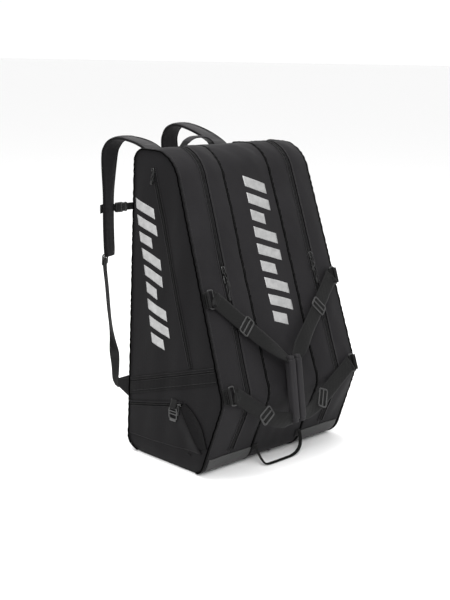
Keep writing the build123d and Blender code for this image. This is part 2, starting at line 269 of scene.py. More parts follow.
def rounded_box(name, centre, size, along, out, material, power=4.0, ends=0.82):
    """A moulded block: a squarish section that draws in at both ends."""
    share = np.array([-1, -0.97, -0.9, -0.6, 0, 0.6, 0.9, 0.97, 1])
    scale = np.array([ends * 0.9, ends, 0.97, 1, 1, 1, 0.97, ends, ends * 0.9])
    path = np.asarray(centre) + share[:, None] * unit(along) * size[0] / 2
    section = oval(size[1], size[2], 20, power)[None] * scale[:, None, None]
    return sweep(name, path, section, out, material)


def buckle_frame(name, centre, along, out, length, height, bar, thick, crossbars=()):
    """A moulded webbing buckle: a rounded frame, with bars across it at the given shares of its length."""
    along = unit(along)
    out = square_to(along, out)
    across = np.cross(out, along)
    radius = bar * 1.3
    a, b = length / 2 - bar / 2, height / 2 - bar / 2
    loop = []
    for sx, sy, start in ((1, 1, 0), (-1, 1, 90), (-1, -1, 180), (1, -1, 270)):
        for angle in np.radians(np.linspace(start, start + 90, 7)):
            loop.append((sx * (a - radius) + radius * math.cos(angle),
                         sy * (b - radius) + radius * math.sin(angle)))
    loop = np.array(loop)
    path = centre + loop[:, :1] * along + loop[:, 1:] * across
    pieces = [sweep(name, path, oval(bar, thick, 12, 3.0), out, BUCKLE, closed=True)]
    for index, share in enumerate(crossbars):
        line = centre + along * a * share + np.linspace(-b, b, 9)[:, None] * across
        pieces.append(sweep(f"{name}_bar{index}", line, oval(bar, thick * 0.9, 12, 3.0), out, BUCKLE))
    return join(pieces)


def points_of(piece):
    """A mesh's points in millimetres."""
    found = np.empty(len(piece.data.vertices) * 3)
    piece.data.vertices.foreach_get("co", found)
    return found.reshape(-1, 3) * 1000


def inflate(piece, sewn, pressure, cap):
    """Puffs a padded piece out with a cloth simulation. Sewn points stay, and none moves further than cap."""
    scene = bpy.context.scene
    piece.vertex_groups.new(name="sewn").add([int(k) for k in sewn], 1.0, "REPLACE")
    puff = piece.modifiers.new("puff", "CLOTH")
    puff.settings.use_pressure = True
    puff.settings.uniform_pressure_force = pressure
    puff.settings.vertex_group_mass = "sewn"
    puff.settings.effector_weights.gravity = 0.0
    puff.settings.bending_stiffness = 0.4
    puff.point_cache.frame_end = PUFF_FRAMES
    for frame_number in range(1, PUFF_FRAMES + 1):
        scene.frame_set(frame_number)
    puffed = piece.evaluated_get(bpy.context.evaluated_depsgraph_get()).to_mesh()
    rest, moved = np.empty(len(piece.data.vertices) * 3), np.empty(len(piece.data.vertices) * 3)
    piece.data.vertices.foreach_get("co", rest)
    puffed.vertices.foreach_get("co", moved)
    piece.modifiers.remove(puff)
    piece.vertex_groups.clear()
    scene.frame_set(1)
    step = (moved - rest).reshape(-1, 3)
    size = np.linalg.norm(step, axis=1, keepdims=True)
    step *= np.minimum(1, cap * 0.001 / np.maximum(size, 1e-9))
    piece.data.vertices.foreach_set("co", rest + step.ravel())
    piece.data.update()


# --- What each piece follows, and the imported nodes it stands for, which are hidden
def describe(nodes):
    if nodes:
        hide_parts(*nodes)


def ride(piece, body, slot, *nodes):
    """A rigid piece, or fabric that moves with one body."""
    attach(piece, body)
    describe(nodes)


def bend(piece, moving, start, end, slot, *nodes):
    """Fabric between the case and a moving body, baked where it lies; moving, start and end, in metres, are
    not used.
    """
    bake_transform(piece)
    describe(nodes)


FOLD_START = np.array([0, *FOLD_LOW])
FOLD_ALONG = unit(np.array([0, *FOLD_HIGH]) - FOLD_START)
FOLD_FORWARD = np.array([0, -FOLD_ALONG[2], FOLD_ALONG[1]])
FOLD_END = FOLD_START + FOLD_FORWARD * FOLD_WIDTH


def fold(piece, name, slot, *nodes):
    """Fabric that crosses a side flap's fold, or lies just ahead of it."""
    bend(piece, f"{name}_flap", tuple(FOLD_START * 0.001), tuple(FOLD_END * 0.001), slot, *nodes)


# --- Materials
def add_node(tree, kind, vector=None, **values):
    """A shader node with its input values set and its vector connected."""
    node = tree.nodes.new(kind)
    for socket, value in values.items():
        node.inputs[socket].default_value = value
    if vector is not None:
        tree.links.new(vector, node.inputs["Vector"])
    return node


def noise(tree, vector, scale, detail=3.0, roughness=0.5):
    return add_node(tree, "ShaderNodeTexNoise", vector, Scale=scale, Detail=detail,
                    Roughness=roughness).outputs["Fac"]


def wave(tree, vector, pitch, direction, distortion):
    """Bands a pitch in millimetres apart."""
    scale = 1000 / pitch / 2 / math.pi
    node = add_node(tree, "ShaderNodeTexWave", vector, Scale=scale, Distortion=distortion)
    node.bands_direction = direction
    return node.outputs["Fac"]


def math_node(tree, operation, a, b):
    node = tree.nodes.new("ShaderNodeMath")
    node.operation = operation
    for socket, value in zip(node.inputs, (a, b)):
        if isinstance(value, (int, float)):
            socket.default_value = value
        else:
            tree.links.new(value, socket)
    return node.outputs["Value"]


def scaled(tree, factor, share):
    return math_node(tree, "MULTIPLY", factor, share)


def ramp_to(tree, factor, low, high, socket):
    """Drives a socket with a colour or grey that follows a 0..1 factor."""
    ramp = tree.nodes.new("ShaderNodeValToRGB")
    for element, place, value in zip(ramp.color_ramp.elements, (0.3, 0.7), (low, high)):
        element.position = place
        element.color = value
    tree.links.new(factor, ramp.inputs["Fac"])
    tree.links.new(ramp.outputs["Color"], socket)


def grey(value, tint=(1.0, 1.0, 1.0)):
    return (value * tint[0], value * tint[1], value * tint[2], 1.0)


def node_tools(name):
    material = bpy.data.materials.new(name)
    material.use_nodes = True
    tree = material.node_tree
    return material, tree, tree.nodes["Principled BSDF"]


def dress(tree, shader, shade, wear, colours, rough, height, depth, **values):
    """Colour, roughness, relief and the shader's plain values."""
    ramp_to(tree, shade, *colours, shader.inputs["Base Color"])
    ramp_to(tree, wear, grey(rough[0]), grey(rough[1]), shader.inputs["Roughness"])
    for socket, value in values.items():
        shader.inputs[socket.replace("_", " ")].default_value = value
    relief = add_node(tree, "ShaderNodeBump", Distance=depth, Strength=1.0)
    tree.links.new(height, relief.inputs["Height"])
    tree.links.new(relief.outputs["Normal"], shader.inputs["Normal"])


FABRIC_TINT = (1.02, 0.97, 1.05)
YARN, CORD_YARN = 420, 600  # scales of the noise in fabric, per metre
CLOUDS = 9
WEAR = 60
RIB_PITCH = 1.6  # of webbing
CHEVRON_PITCH = 4.0


def cloth(name, low, high, thread=1.3, rough=(0.55, 0.72), sheen=0.02, depth=0.00012, gloss=0.1):
    """Woven fabric: threads both ways, uneven yarn, slow changes of colour, and a little sheen."""
    material, tree, shader = node_tools(name)
    place = tree.nodes.new("ShaderNodeTexCoord").outputs["Object"]
    turned = add_node(tree, "ShaderNodeMapping", place, Rotation=(0, 0, math.radians(45))).outputs["Vector"]
    weave = math_node(tree, "MULTIPLY", *(wave(tree, turned, 2 * thread, axis, 0.4) for axis in "XZ"))
    yarn = noise(tree, place, YARN, 2.0)
    clouds = noise(tree, place, CLOUDS, 4.0, 0.55)
    shade = math_node(tree, "ADD", scaled(tree, clouds, 0.7), scaled(tree, yarn, 0.3))
    height = math_node(tree, "ADD", weave, scaled(tree, yarn, 0.7))
    colours = (grey(low, FABRIC_TINT), grey(high, FABRIC_TINT))
    dress(tree, shader, shade, clouds, colours, rough, height, depth,
          Sheen_Weight=sheen, Sheen_Roughness=0.45, Specular_IOR_Level=gloss)
    return material


def webbing_material(name, low, high):
    """Ribbed webbing: fine cross ribs along the length, seen through the surface map."""
    material, tree, shader = node_tools(name)
    surface = tree.nodes.new("ShaderNodeUVMap")
    surface.uv_map = "surface"
    surface = surface.outputs["UV"]
    ribs = wave(tree, surface, RIB_PITCH, "X", 0.3)
    chevrons = wave(tree, surface, CHEVRON_PITCH, "DIAGONAL", 0.0)
    yarn = noise(tree, tree.nodes.new("ShaderNodeTexCoord").outputs["Object"], CORD_YARN, 2.0)
    height = math_node(tree, "ADD", ribs, scaled(tree, chevrons, 0.5))
    dress(tree, shader, yarn, yarn, (grey(low), grey(high)), (0.5, 0.66), height, 0.00025,
          Sheen_Weight=0.02, Sheen_Roughness=0.5, Specular_IOR_Level=0.1)
    return material


def plastic(name, low, high, rough=(0.28, 0.42), grain=900, depth=0.00004, metallic=0.0, gloss=0.3):
    """Moulded plastic or painted metal: fine grain, and worn, slightly uneven gloss."""
    material, tree, shader = node_tools(name)
    place = tree.nodes.new("ShaderNodeTexCoord").outputs["Object"]
    wear = noise(tree, place, WEAR, 4.0, 0.6)
    dress(tree, shader, wear, wear, (grey(low), grey(high)), rough, noise(tree, place, grain, 2.0), depth,
          Metallic=metallic, Specular_IOR_Level=gloss)
    return material


SHELL = cloth("shell_fabric", 0.0088, 0.0138, gloss=0.06)
# The shell's fabric again, painted darker for the sides: painted shade, as the sides catch less light than
# the front
SHADED_SHELL = cloth("shell_fabric_shaded_side", 0.0048, 0.0078, gloss=0.05)
BAND = cloth("band_fabric", 0.0028, 0.0048, thread=2.4, depth=0.0003, rough=(0.6, 0.75), gloss=0.06)
LINING = cloth("lining_fabric", 0.05, 0.075, thread=0.9, rough=(0.5, 0.6), sheen=0.1)
BACKING = cloth("back_fabric", 0.012, 0.019, thread=3.0, depth=0.0004, rough=(0.65, 0.8))
MESH_CLOTH = cloth("strap_mesh", 0.008, 0.014, thread=3.2, depth=0.0005, rough=(0.7, 0.85))
PAD = cloth("strap_padding", 0.009, 0.014, thread=1.1, rough=(0.46, 0.6), sheen=0.04, gloss=0.2)
GRIP = cloth("grip_wrap", 0.0125, 0.0185, thread=1.2, rough=(0.5, 0.65))
TAPE = cloth("zip_tape", 0.0060, 0.0090, thread=1.0, rough=(0.55, 0.7))
WEB = webbing_material("webbing", 0.0034, 0.0060)
PIPE = plastic("piping", 0.0012, 0.0022, rough=(0.5, 0.65), gloss=0.08)
# Near-black and without gloss: painted shade, laid in seams and along zips where the creases are in shadow
SEAM_SHADE = cloth("seam_groove", 0.0004, 0.0008, thread=1.0, sheen=0.0, gloss=0.0)
THREAD = plastic("thread", 0.020, 0.032, rough=(0.5, 0.65), gloss=0.2)
TEETH = plastic("zip_teeth", 0.003, 0.005, rough=(0.35, 0.5), gloss=0.15)
BUCKLE = plastic("buckle_plastic", 0.009, 0.015, rough=(0.3, 0.42), gloss=0.5)
SLIDER = plastic("slider_metal", 0.0015, 0.003, rough=(0.22, 0.32), gloss=0.5)
PULL = plastic("pull_cord", 0.0010, 0.0020, rough=(0.3, 0.42), gloss=0.35)
RUBBER = plastic("base_rubber", 0.034, 0.044, rough=(0.5, 0.65), grain=350, depth=0.00025, gloss=0.2)
SILVER = plastic("silver_print", 0.24, 0.33, rough=(0.36, 0.5), grain=260, depth=0.00008, metallic=0.3)
BOARD = plastic("base_board", 0.010, 0.016, rough=(0.55, 0.7), grain=300, depth=0.0003, gloss=0.15)


# --- The case's outline in (y, z), all the way round from the middle of the base
def add_straight(points, normals, start, end, step):
    along = unit(end - start)
    for t in np.linspace(0, 1, max(2, int(np.linalg.norm(end - start) / step))):
        points.append(start + (end - start) * t)
        normals.append(np.array([-along[1], along[0]]))


def rounded_outline(corners, radii, step=3.0):
    points, normals = [], []
    corners = [np.array(c, float) for c in corners]
    last = corners[0]
    for before, corner, after, radius in zip(corners, corners[1:], corners[2:], radii):
        ahead, onward = unit(corner - before), unit(after - corner)
        turn = math.acos(float(np.clip(ahead @ onward, -1, 1)))
        tangent = radius * math.tan(turn / 2)
        start = corner - ahead * tangent
        add_straight(points, normals, last, start, step)
        hand = math.copysign(1.0, ahead[0] * onward[1] - ahead[1] * onward[0])
        spoke = np.array([ahead[1], -ahead[0]]) * radius * hand
        for angle in np.linspace(0, turn, max(4, int(turn / 0.05)))[1:-1]:
            c, s = math.cos(angle), math.sin(angle) * hand
            turned = np.array([spoke[0] * c - spoke[1] * s, spoke[0] * s + spoke[1] * c])
            points.append(start - spoke + turned)
            normals.append(-hand * unit(turned))
        last = corner + onward * tangent
    add_straight(points, normals, last, corners[-1], step)
    return np.array(points), np.array(normals)


TOP_FRONT = BELLY_Y + LEAN * (HEIGHT - BELLY_Z)
outline, outline_out = rounded_outline(
    [(0, 0), (FRONT_Y, 0), (BELLY_Y, BELLY_Z), (TOP_FRONT, HEIGHT), (BACK_Y, HEIGHT), (BACK_Y, 0), (0, 0)],
    CORNER_RADII)
steps_round = np.linalg.norm(np.diff(outline, axis=0), axis=1)
RUN = np.concatenate([[0], np.cumsum(np.maximum(steps_round, 1e-6))])


def first_and_last(found):
    """Places of the first and the last true value."""
    return int(np.argmax(found)), len(found) - 1 - int(np.argmax(found[::-1]))


TOP_AT, TOP_LAST = first_and_last(outline[:, 1] > HEIGHT - 0.001)
BASE_AT, BASE_LAST = first_and_last(outline[:, 1] > 0.0)
FRONT_PART = slice(BASE_AT - 1, TOP_AT + 1)
TOP_PART = slice(TOP_AT, TOP_LAST + 1)
BACK_PART = slice(TOP_LAST, BASE_LAST + 2)


def front_run(z):
    return np.interp(z, outline[FRONT_PART, 1], RUN[FRONT_PART])


def top_run(y):
    return np.interp(y, outline[TOP_PART, 0], RUN[TOP_PART])


def back_run(z):
    return np.interp(-np.asarray(z, float), -outline[BACK_PART, 1], RUN[BACK_PART])


def edge_y(z):
    """Where a level line of the side panel starts and ends."""
    return (np.interp(z, outline[FRONT_PART, 1], outline[FRONT_PART, 0]),
            np.interp(-z, -outline[BACK_PART, 1], outline[BACK_PART, 0]))


RUN_SKIRT = float(front_run(SKIRT))
RUN_OVER = float(top_run(BAND_END))
RUN_BACK_LOW = float(back_run(0.5))
RUN_BASE = float(RUN[BASE_AT - 1])


# --- The case's skin
def ease(t):
    t = np.clip(t, 0, 1)
    return t * t * (3 - 2 * t)


# Length and height of each wave in the fabric
WAVE_SIZES = ((170, 0.8), (130, 0.6), (95, 0.45), (70, 0.32), (52, 0.22), (38, 0.14), (27, 0.09))
WAVE_GAIN = 1.5
random = np.random.default_rng(12)
WAVES = []
for wave_length, wave_height in WAVE_SIZES:
    direction = unit(random.normal(size=3) * (1, 1, 0.6)) * 2 * math.pi / wave_length
    WAVES.append((direction, random.uniform(0, 6.28), wave_height * WAVE_GAIN))


def undulation(points):
    """Slow, uneven waves in the fabric."""
    return sum(size * np.sin(points @ direction + phase) for direction, phase, size in WAVES)


PUCKER_HEIGHT = 0.75
PUCKER_REACH = 9
PUCKER_LENGTH, PUCKER_DRIFT = 21, 87  # of one gather, and of the slow change in their spacing


def pucker(distance, along, seed):
    """Small gathers beside a sewn seam."""
    drift = 2.1 * np.sin(along * 2 * math.pi / PUCKER_DRIFT + seed)
    ripple = np.sin(along * 2 * math.pi / PUCKER_LENGTH + drift + seed)
    return PUCKER_HEIGHT * np.exp(-np.abs(distance) / PUCKER_REACH) * ripple


# Height of the front at its middle, seams, zips and edges, and how much more the panels between them puff out
CROWN_AT = (0.0, SEAM_X, ZIP_X, HALF)
CROWN = (5.0, 3.0, 5.5, 0.0)
PUFF = (3.0, 4.0, 4.6)
CROWN_FOOT, CROWN_TOP = 120, 80  # lengths over which the crown fades
BACK_FULLNESS, BACK_FADE = 5, 60
SIDE_FULLNESS = 4.2
EDGE_REACH, END_REACH = 22, 30  # how far from a panel's edges and ends it has filled out
CALM_EDGE, CALM_FOOT, CALM_ZIP = 40, 70, 14  # how far from the edges, the foot and a zip the waves are small


def crown(across, run):
    """How far the front's panels stand proud: pinched at the seams and full between them."""
    a = np.abs(across)
    height = np.interp(a, CROWN_AT, CROWN)
    for low, high, puff in zip(CROWN_AT, CROWN_AT[1:], PUFF):
        share = np.clip((a - low) / (high - low), 0, 1)
        share = share / 2 + 0.5 if low == 0 else share
        height = height + np.where((a >= low) & (a <= high), puff * np.sin(math.pi * share) ** 0.7, 0)
    for seam in CROWN_AT[1:]:
        height = height + pucker(a - seam, run, seam)
    return height * ease((run - RUN_SKIRT) / CROWN_FOOT) * ease((RUN_OVER - run) / CROWN_TOP)


def back_crown(across, run):
    edge = HALF - np.abs(across)
    fullness = BACK_FULLNESS * (1 - np.exp(-edge / EDGE_REACH)) + pucker(edge, run, 3.0)
    return fullness * ease((run - RUN_OVER) / BACK_FADE) * ease((RUN_BACK_LOW - run) / BACK_FADE)


def width_at(z):
    """Half width at a height, as a share of the base's: the sides lean in, and tuck under at the foot."""
    foot = np.clip(1 - np.asarray(z, float) / FOOT_HIGH, 0, 1)
    return (1 - TAPER * z / HEIGHT) * (1 - FOOT_TUCK * foot**2)


def shell(across, run, lift=0.0):
    """Points of the case's skin. Across is x at the base, run is the distance round the outline."""
    across, run = np.broadcast_arrays(np.asarray(across, float), np.asarray(run, float))
    y, z = np.interp(run, RUN, outline[:, 0]), np.interp(run, RUN, outline[:, 1])
    out_y, out_z = np.interp(run, RUN, outline_out[:, 0]), np.interp(run, RUN, outline_out[:, 1])
    x = across * width_at(z)
    # The waves die out at the edges and the foot, and are small beside the stiff zips
    calm = np.clip((HALF - np.abs(across)) / CALM_EDGE, 0, 1) * ease(z / CALM_FOOT)
    calm = calm * (1 - 0.8 * np.exp(-((np.abs(across) - ZIP_X) / CALM_ZIP) ** 2))
    height = np.where(run < RUN_OVER, crown(across, run), back_crown(across, run))
    height = height + undulation(np.stack([x, y, z], -1)) * calm + lift
    return np.stack([x, y + out_y * height, z + out_z * height], -1)


def shell_out(run):
    out_y, out_z = np.interp(run, RUN, outline_out[:, 0]), np.interp(run, RUN, outline_out[:, 1])
    return np.stack([np.zeros_like(out_y), out_y, out_z], -1)


def rise(distance, reach):
    """From 0 at an edge towards 1 inside it."""
    return 1 - np.exp(-np.clip(distance, 0, None) / reach)


def side(sign, y, z, lift=0.0):
    """Points of a side panel's skin. Sign is -1 on the left and 1 on the right."""
    y, z = np.broadcast_arrays(np.asarray(y, float), np.asarray(z, float))
    front, back = edge_y(z)
    ahead, behind = y - front, back - y
    fullness = rise(ahead, EDGE_REACH) * rise(behind, EDGE_REACH)
    fullness = fullness * rise(HEIGHT - z, END_REACH) * rise(z, END_REACH)
    gathers = pucker(ahead, z, 1.0) + pucker(behind, z, 2.0)
    x = HALF * width_at(z)
    rest = np.stack([np.full_like(x, sign) * x, y, z], -1)
    x = x + SIDE_FULLNESS * fullness + (undulation(rest) * 1.1 + gathers) * fullness + lift
    return np.stack([sign * x, y, z], -1)


# --- Front panels, from seam to seam
def steps(low, high, pitch):
    return np.linspace(low, high, max(2, int(abs(high - low) / pitch) + 1))


def panel(name, across, run, outside, pitch=5.0, thick=PANEL_THICK, lift=0.0, inside=None):
    """A sheet of the case's skin between two values of across, in either order, and two of run."""
    across, run = steps(*sorted(across), pitch)[None, :], steps(*run, pitch)[:, None]
    outer, inner = shell(across, run, lift), shell(across, run, lift - thick)
    return slab(name, outer, inner, outside, inside or LINING, flip=True)


centre = panel("centre_panel_cloth", (-SEAM_X, SEAM_X), (RUN_BASE + 2, RUN_OVER), SHELL)
ride(centre, "bag", "shell_fabric", "centre_panel")
GUSSET_RUN = (RUN_SKIRT - 2, RUN_OVER)
for name, sign in SIDES:
    inner_ends, outer_ends = (sign * (ZIP_X - 0.4), sign * SEAM_X), (sign * HALF, sign * (ZIP_X + 0.4))
    inner_gusset = panel(f"{name}_inner_gusset_cloth", inner_ends, GUSSET_RUN, SHELL)
    ride(inner_gusset, "bag", "shell_fabric", f"{name}_inner_gusset")
    outer_gusset = panel(f"{name}_outer_gusset_cloth", outer_ends, GUSSET_RUN, SHELL)
    fold(outer_gusset, name, "shell_fabric", f"{name}_outer_gusset")

# --- Side panels, each one sheet across its fold. Its rows crowd together at the rounded foot and top.
FOOT_ROWS = 28 * (1 - np.cos(np.radians(np.linspace(6, 90, 8))))
TOP_ROWS = 682 + 88 * np.sin(np.radians(np.linspace(0, 90, 20)[1:]))
side_rows = np.concatenate([FOOT_ROWS, np.arange(33, 680, 5.5), [682.0], TOP_ROWS])
side_rows[-1] = HEIGHT - 0.01
for name, sign in SIDES:
    front, back = edge_y(side_rows)
    share = np.linspace(0, 1, 54)[None, :]
    y = front[:, None] + (back - front)[:, None] * share
    z = np.repeat(side_rows[:, None], y.shape[1], 1)
    outer, inner = side(sign, y, z), side(sign, y, z, -PANEL_THICK)
    sheet = slab(f"{name}_side_cloth", outer, inner, SHADED_SHELL, LINING, flip=sign > 0)
    fold(sheet, name, "shell_fabric", f"{name}_side_panel", f"{name}_side_flap")

# --- Back, base, skirt and rubber strips
back = panel("back_panel_cloth", (-HALF, HALF), (RUN_OVER, RUN_BACK_LOW), BACKING, pitch=6.0)
ride(back, "bag", "back_padding", "back_panel")
base_run = np.concatenate([steps(RUN_BACK_LOW, RUN[-1], 6), steps(0, RUN_BASE + 2, 6)[1:] + RUN[-1]])
base_run = (base_run % RUN[-1])[:, None]
base_across = steps(-HALF, HALF, 8)[None, :]
base = slab("base_cloth", shell(base_across, base_run), shell(base_across, base_run, -5.0), BOARD, LINING,
            flip=True)
ride(base, "bag", "base_board", "base_panel")
skirts = [panel(f"skirt{sign}", (sign * HALF, sign * SEAM_X), (RUN_BASE + 2, RUN_SKIRT), SHELL)
          for _, sign in SIDES]
ride(join(skirts, "skirt_cloth"), "bag", "shell_fabric", "base_skirt")
strips = [panel(f"strip{sign}", (sign * (HALF - 12), sign * (SEAM_X + 2)), (RUN_BASE + 3, RUN_SKIRT), RUBBER,
                thick=1.5, lift=1.6, inside=RUBBER) for _, sign in SIDES]
ride(join(strips, "rubber_strips"), "bag", "base_rubber", "base_strips")


# --- Pipings, seams and main zips
def along_shell(across, start, end, lift):
    run = steps(start, end, 4.0)
    return shell(across, run, lift), shell_out(run)


def piping(name, across, start, end, radius, lift, sink):
    """A sewn cord on a near-black bed of painted shade, for the shadow in the seam's crease."""
    path, out = along_shell(across, start, end, lift)
    cord = sweep(name, path, oval(radius * 2, radius * 2, 10), out, PIPE)
    shade_bed = sweep(f"{name}_bed", path - out * sink, flat_section(radius * 2 + 6.6, 1.3), out, SEAM_SHADE)
    return join([cord, shade_bed])


pipes = []
for _, sign in SIDES:
    pipes.append(piping(f"seam_cord{sign}", sign * SEAM_X, RUN_BASE + 3, RUN_OVER, 1.7, 0.9, 0.4))
ride(join(pipes, "centre_seam_cords"), "bag", "piping", "centre_pipings")

TOOTH_PITCH = 2.7
# Layers of a zip's half: start and end from the zip's middle, material, point spacing, thickness and lift
ZIP_TAPE = ("tape", 1.4, 10.0, TAPE, 4.0, 0.9, 1.0)
# The first layer is a near-black strip of painted shade, for the shadow in the zip's seam
ZIP_LAYERS = (("groove", 4.9, 7.6, SEAM_SHADE, 2.0, 0.9, 1.15), ("flange", 7.7, 11.5, SHELL, 2.0, 1.2, 1.5))
ZIP_SEAMS = ((9.0, 1.15), (13.5, 0.1))  # distance from the zip's middle, and lift


def zip_half(name, sign, direction, shift):
    """Tape, teeth, a near-black strip of painted shade in the seam, flange and stitching on one side of a
    main zip. Direction is -1 inside it.
    """

    def beside(distance):
        return sign * (ZIP_X + direction * distance)

    def layer(kind, near, far, material, pitch, thick, lift):
        return panel(f"{name}_{kind}", (beside(near), beside(far)), (RUN_SKIRT + 12, RUN_OVER - 6), material,
                     pitch, thick, lift, material)

    tape = layer(*ZIP_TAPE)
    run = np.arange(RUN_SKIRT + 14, RUN_OVER - 8, TOOTH_PITCH) + shift
    places = shell(beside(1.0), run, 0.7)
    ahead = shell(beside(1.0), run + 1, 0.7) - places
    teeth = scatter(f"{name}_teeth", *bead(1.7, 3.4, 1.5), places, ahead, shell_out(run), TEETH)
    pieces = [tape, teeth, *(layer(*values) for values in ZIP_LAYERS)]
    for distance, lift in ZIP_SEAMS:
        path, out = along_shell(beside(distance), RUN_SKIRT + 10, RUN_OVER - 4, lift)
        pieces.append(stitches(f"{name}_seam{distance}", path, out))
    return join(pieces)


for name, sign in SIDES:
    cord = piping(f"{name}_edge_cord", sign * HALF, RUN_BASE + 12, RUN_BACK_LOW - 10, 2.2, 0.4, 0.6)
    fold(cord, name, "piping", f"{name}_edge_piping")
    ride(zip_half(f"{name}_zip_inner", sign, -1, 0.0), "bag", "zip_tape", f"{name}_zip_inner")
    fold(zip_half(f"{name}_zip_outer", sign, 1, TOOTH_PITCH / 2), name, "zip_tape", f"{name}_zip_outer")
    lines = []
    for across in (SEAM_X - 5, SEAM_X + 5):
        path, out = along_shell(sign * across, RUN_SKIRT + 4, RUN_OVER, 0.1)
        lines.append(stitches(f"{name}_seam{across}", path, out))
    ride(join(lines, f"{name}_centre_stitching"), "bag", "shell_fabric")
    path, out = along_shell(sign * (HALF - 6.5), RUN_SKIRT, RUN_OVER, 0.1)
    fold(stitches(f"{name}_edge_stitching", path, out), name, "shell_fabric")


# --- Left side: band, shoe pocket, bellows and side pocket zip. Places on the side are (y, z).
def left_side(y, z, lift=0.0):
    return side(LEFT, y, z, lift)


def side_patch(name, corners, lift, thick, outside, pitch=5.0, bulge=None):
    """A sheet on the left side. Its corners are low start, low end, high start and high end."""
    a, b, c, d = (np.array(p, float) for p in corners)
    columns = max(3, int(max(np.linalg.norm(b - a), np.linalg.norm(d - c)) / pitch))
    rows = max(3, int(max(np.linalg.norm(c - a), np.linalg.norm(d - b)) / pitch))
    u, v = np.linspace(0, 1, columns)[None, :, None], np.linspace(0, 1, rows)[:, None, None]
    place = (a * (1 - u) + b * u) * (1 - v) + (c * (1 - u) + d * u) * v
    u, v = u[..., 0], v[..., 0]
    height = lift if bulge is None else lift + bulge(u, v)
    # The border rows and columns are pressed down
    rounding = np.minimum(1, np.minimum(np.minimum(u, 1 - u) * columns, np.minimum(v, 1 - v) * rows))
    outer = left_side(place[..., 0], place[..., 1], height - (1 - rounding) * min(thick, 1.0) * 0.6)
    inner = left_side(place[..., 0], place[..., 1], lift - thick)
    return slab(name, outer, inner, outside, outside)


def side_stitches(name, points, lift):
    points = smooth_path(points, 4.0)
    return stitches(name, left_side(points[:, 0], points[:, 1], lift), -X_AXIS)


def side_zip(name, start, end, width):
    """Tape, teeth, stitching, near-black strips of painted shade along the tape's edges, and lips of a
    straight zip on the left side.
    """
    start, end = np.array(start, float), np.array(end, float)
    along = unit(end - start)
    across = np.array([-along[1], along[0]]) * width / 2

    def strip(kind, near, far, lift, thick, material):
        """A strip of one layer. Near and far are in half widths from the middle."""
        near, far = across * near, across * far
        corners = (start + near, end + near, start + far, end + far)
        return side_patch(f"{name}_{kind}", corners, lift, thick, material, pitch=3.0)

    tape = strip("tape", -1, 1, 1.3, 1.2, BAND)
    count = int(np.linalg.norm(end - start) / 2.0)
    marks = start + (end - start) * np.linspace(0.01, 0.99, count)[:, None]
    places = left_side(marks[:, 0], marks[:, 1], 1.2)
    teeth = scatter(f"{name}_teeth", *bead(1.3, 4.4, 1.2), places, np.gradient(places, axis=0),
                    np.tile(-X_AXIS, (count, 1)), TEETH)
    pieces = [tape, teeth]
    for hand in (-1, 1):
        edge = across * hand * (1 + 3.0 / width)
        seam = [start + edge, (start + end) / 2 + edge, end + edge]
        pieces.append(side_stitches(f"{name}_seam{hand}", seam, 1.2))
        # Near-black strips along the tape's edges: painted shade under the lips
        pieces.append(strip(f"groove{hand}", hand * 0.86, hand * (1 + 1.8 / width), 1.5, 1.4, SEAM_SHADE))
        pieces.append(strip(f"lip{hand}", hand * (1 + 2.0 / width), hand * (1 + 8.0 / width), 1.4, 1.3, SHADED_SHELL))
    return join(pieces)


BAND_REAR = ((132.0, 150.0), (132.0, 190.0))  # lower and upper end
BAND_FRONT = tuple((float(edge_y(z)[0]) + 2.5, z) for z in (244.0, 280.0))


def on_band(share, level):
    """A place on the band: share runs from back to front, level from its lower to its upper edge."""
    low, high = (np.array(rear) * (1 - share) + np.array(front) * share
                 for rear, front in zip(BAND_REAR, BAND_FRONT))
    return low * (1 - level) + high * level


def band_strip(name, low, high, lift, thick):
    corners = (on_band(0, low), on_band(1, low), on_band(0, high), on_band(1, high))
    return side_patch(name, corners, lift, thick, BAND, pitch=4.0)


# Layers of the band: lower and upper edge, lift and thickness
BAND_LAYERS = {
    "main": (0.0, 0.80, 1.7, 1.6),
    "top": (0.84, 1.06, 2.2, 2.0),
    "foot": (-0.04, 0.1, 2.4, 1.0),
}
BAND_SEAMS = ((0.16, 1.8), (0.74, 1.8), (0.87, 2.3), (1.03, 2.3))  # level and lift
band = [band_strip(f"band_{layer}", *values) for layer, values in BAND_LAYERS.items()]
for level, lift in BAND_SEAMS:
    points = [on_band(share, level) for share in np.linspace(0.01, 0.99, 9)]
    band.append(side_stitches(f"band_seam{level}", points, lift))
fold(join(band, "left_band_cloth"), "left", "shell_fabric", "left_band_rear", "left_band_front")

# The pocket's front edge stands proud, over a bellows that folds in behind it
RIDGE = [(-62.0, 164.0), (-84.0, 133.0), (-108.0, 102.0), (-132.0, 70.0)]
CREASE = [(-78.0, 172.0), (-116.0, 149.0), (-142.0, 118.0), (-156.0, 76.0)]
ridge, crease = smooth_path(RIDGE, 4.0), smooth_path(CREASE, 4.0)
crease = crease[np.linspace(0, len(crease) - 1, len(ridge)).astype(int)]
fade = np.sin(np.linspace(0.12, 1, len(ridge)) * math.pi * 0.86)
share = np.linspace(0, 1, 12)[None, :]
place_y, place_z = (ridge[:, k:k + 1] * (1 - share) + crease[:, k:k + 1] * share for k in (0, 1))
fold_height = 7.5 * (1 - share) ** 1.4 - 2.2 * np.sin(math.pi * share) + 2.2 * share
fold_height = fold_height * fade[:, None] + 0.6
bellows_skin, bellows_inside = (left_side(place_y, place_z, lift) for lift in (fold_height, -0.4))
bellows = [slab("bellows_cloth", bellows_skin, bellows_inside, BAND)]
bellows_cords = (("ridge_cord", ridge, 0.6 + 7.2 * fade, 2.6), ("crease_cord", crease, 1.4 + 1.6 * fade, 2.4))
for name, line, lift, size in bellows_cords:
    bellows.append(sweep(name, left_side(line[:, 0], line[:, 1], lift), oval(size, size, 8), -X_AXIS, PIPE))
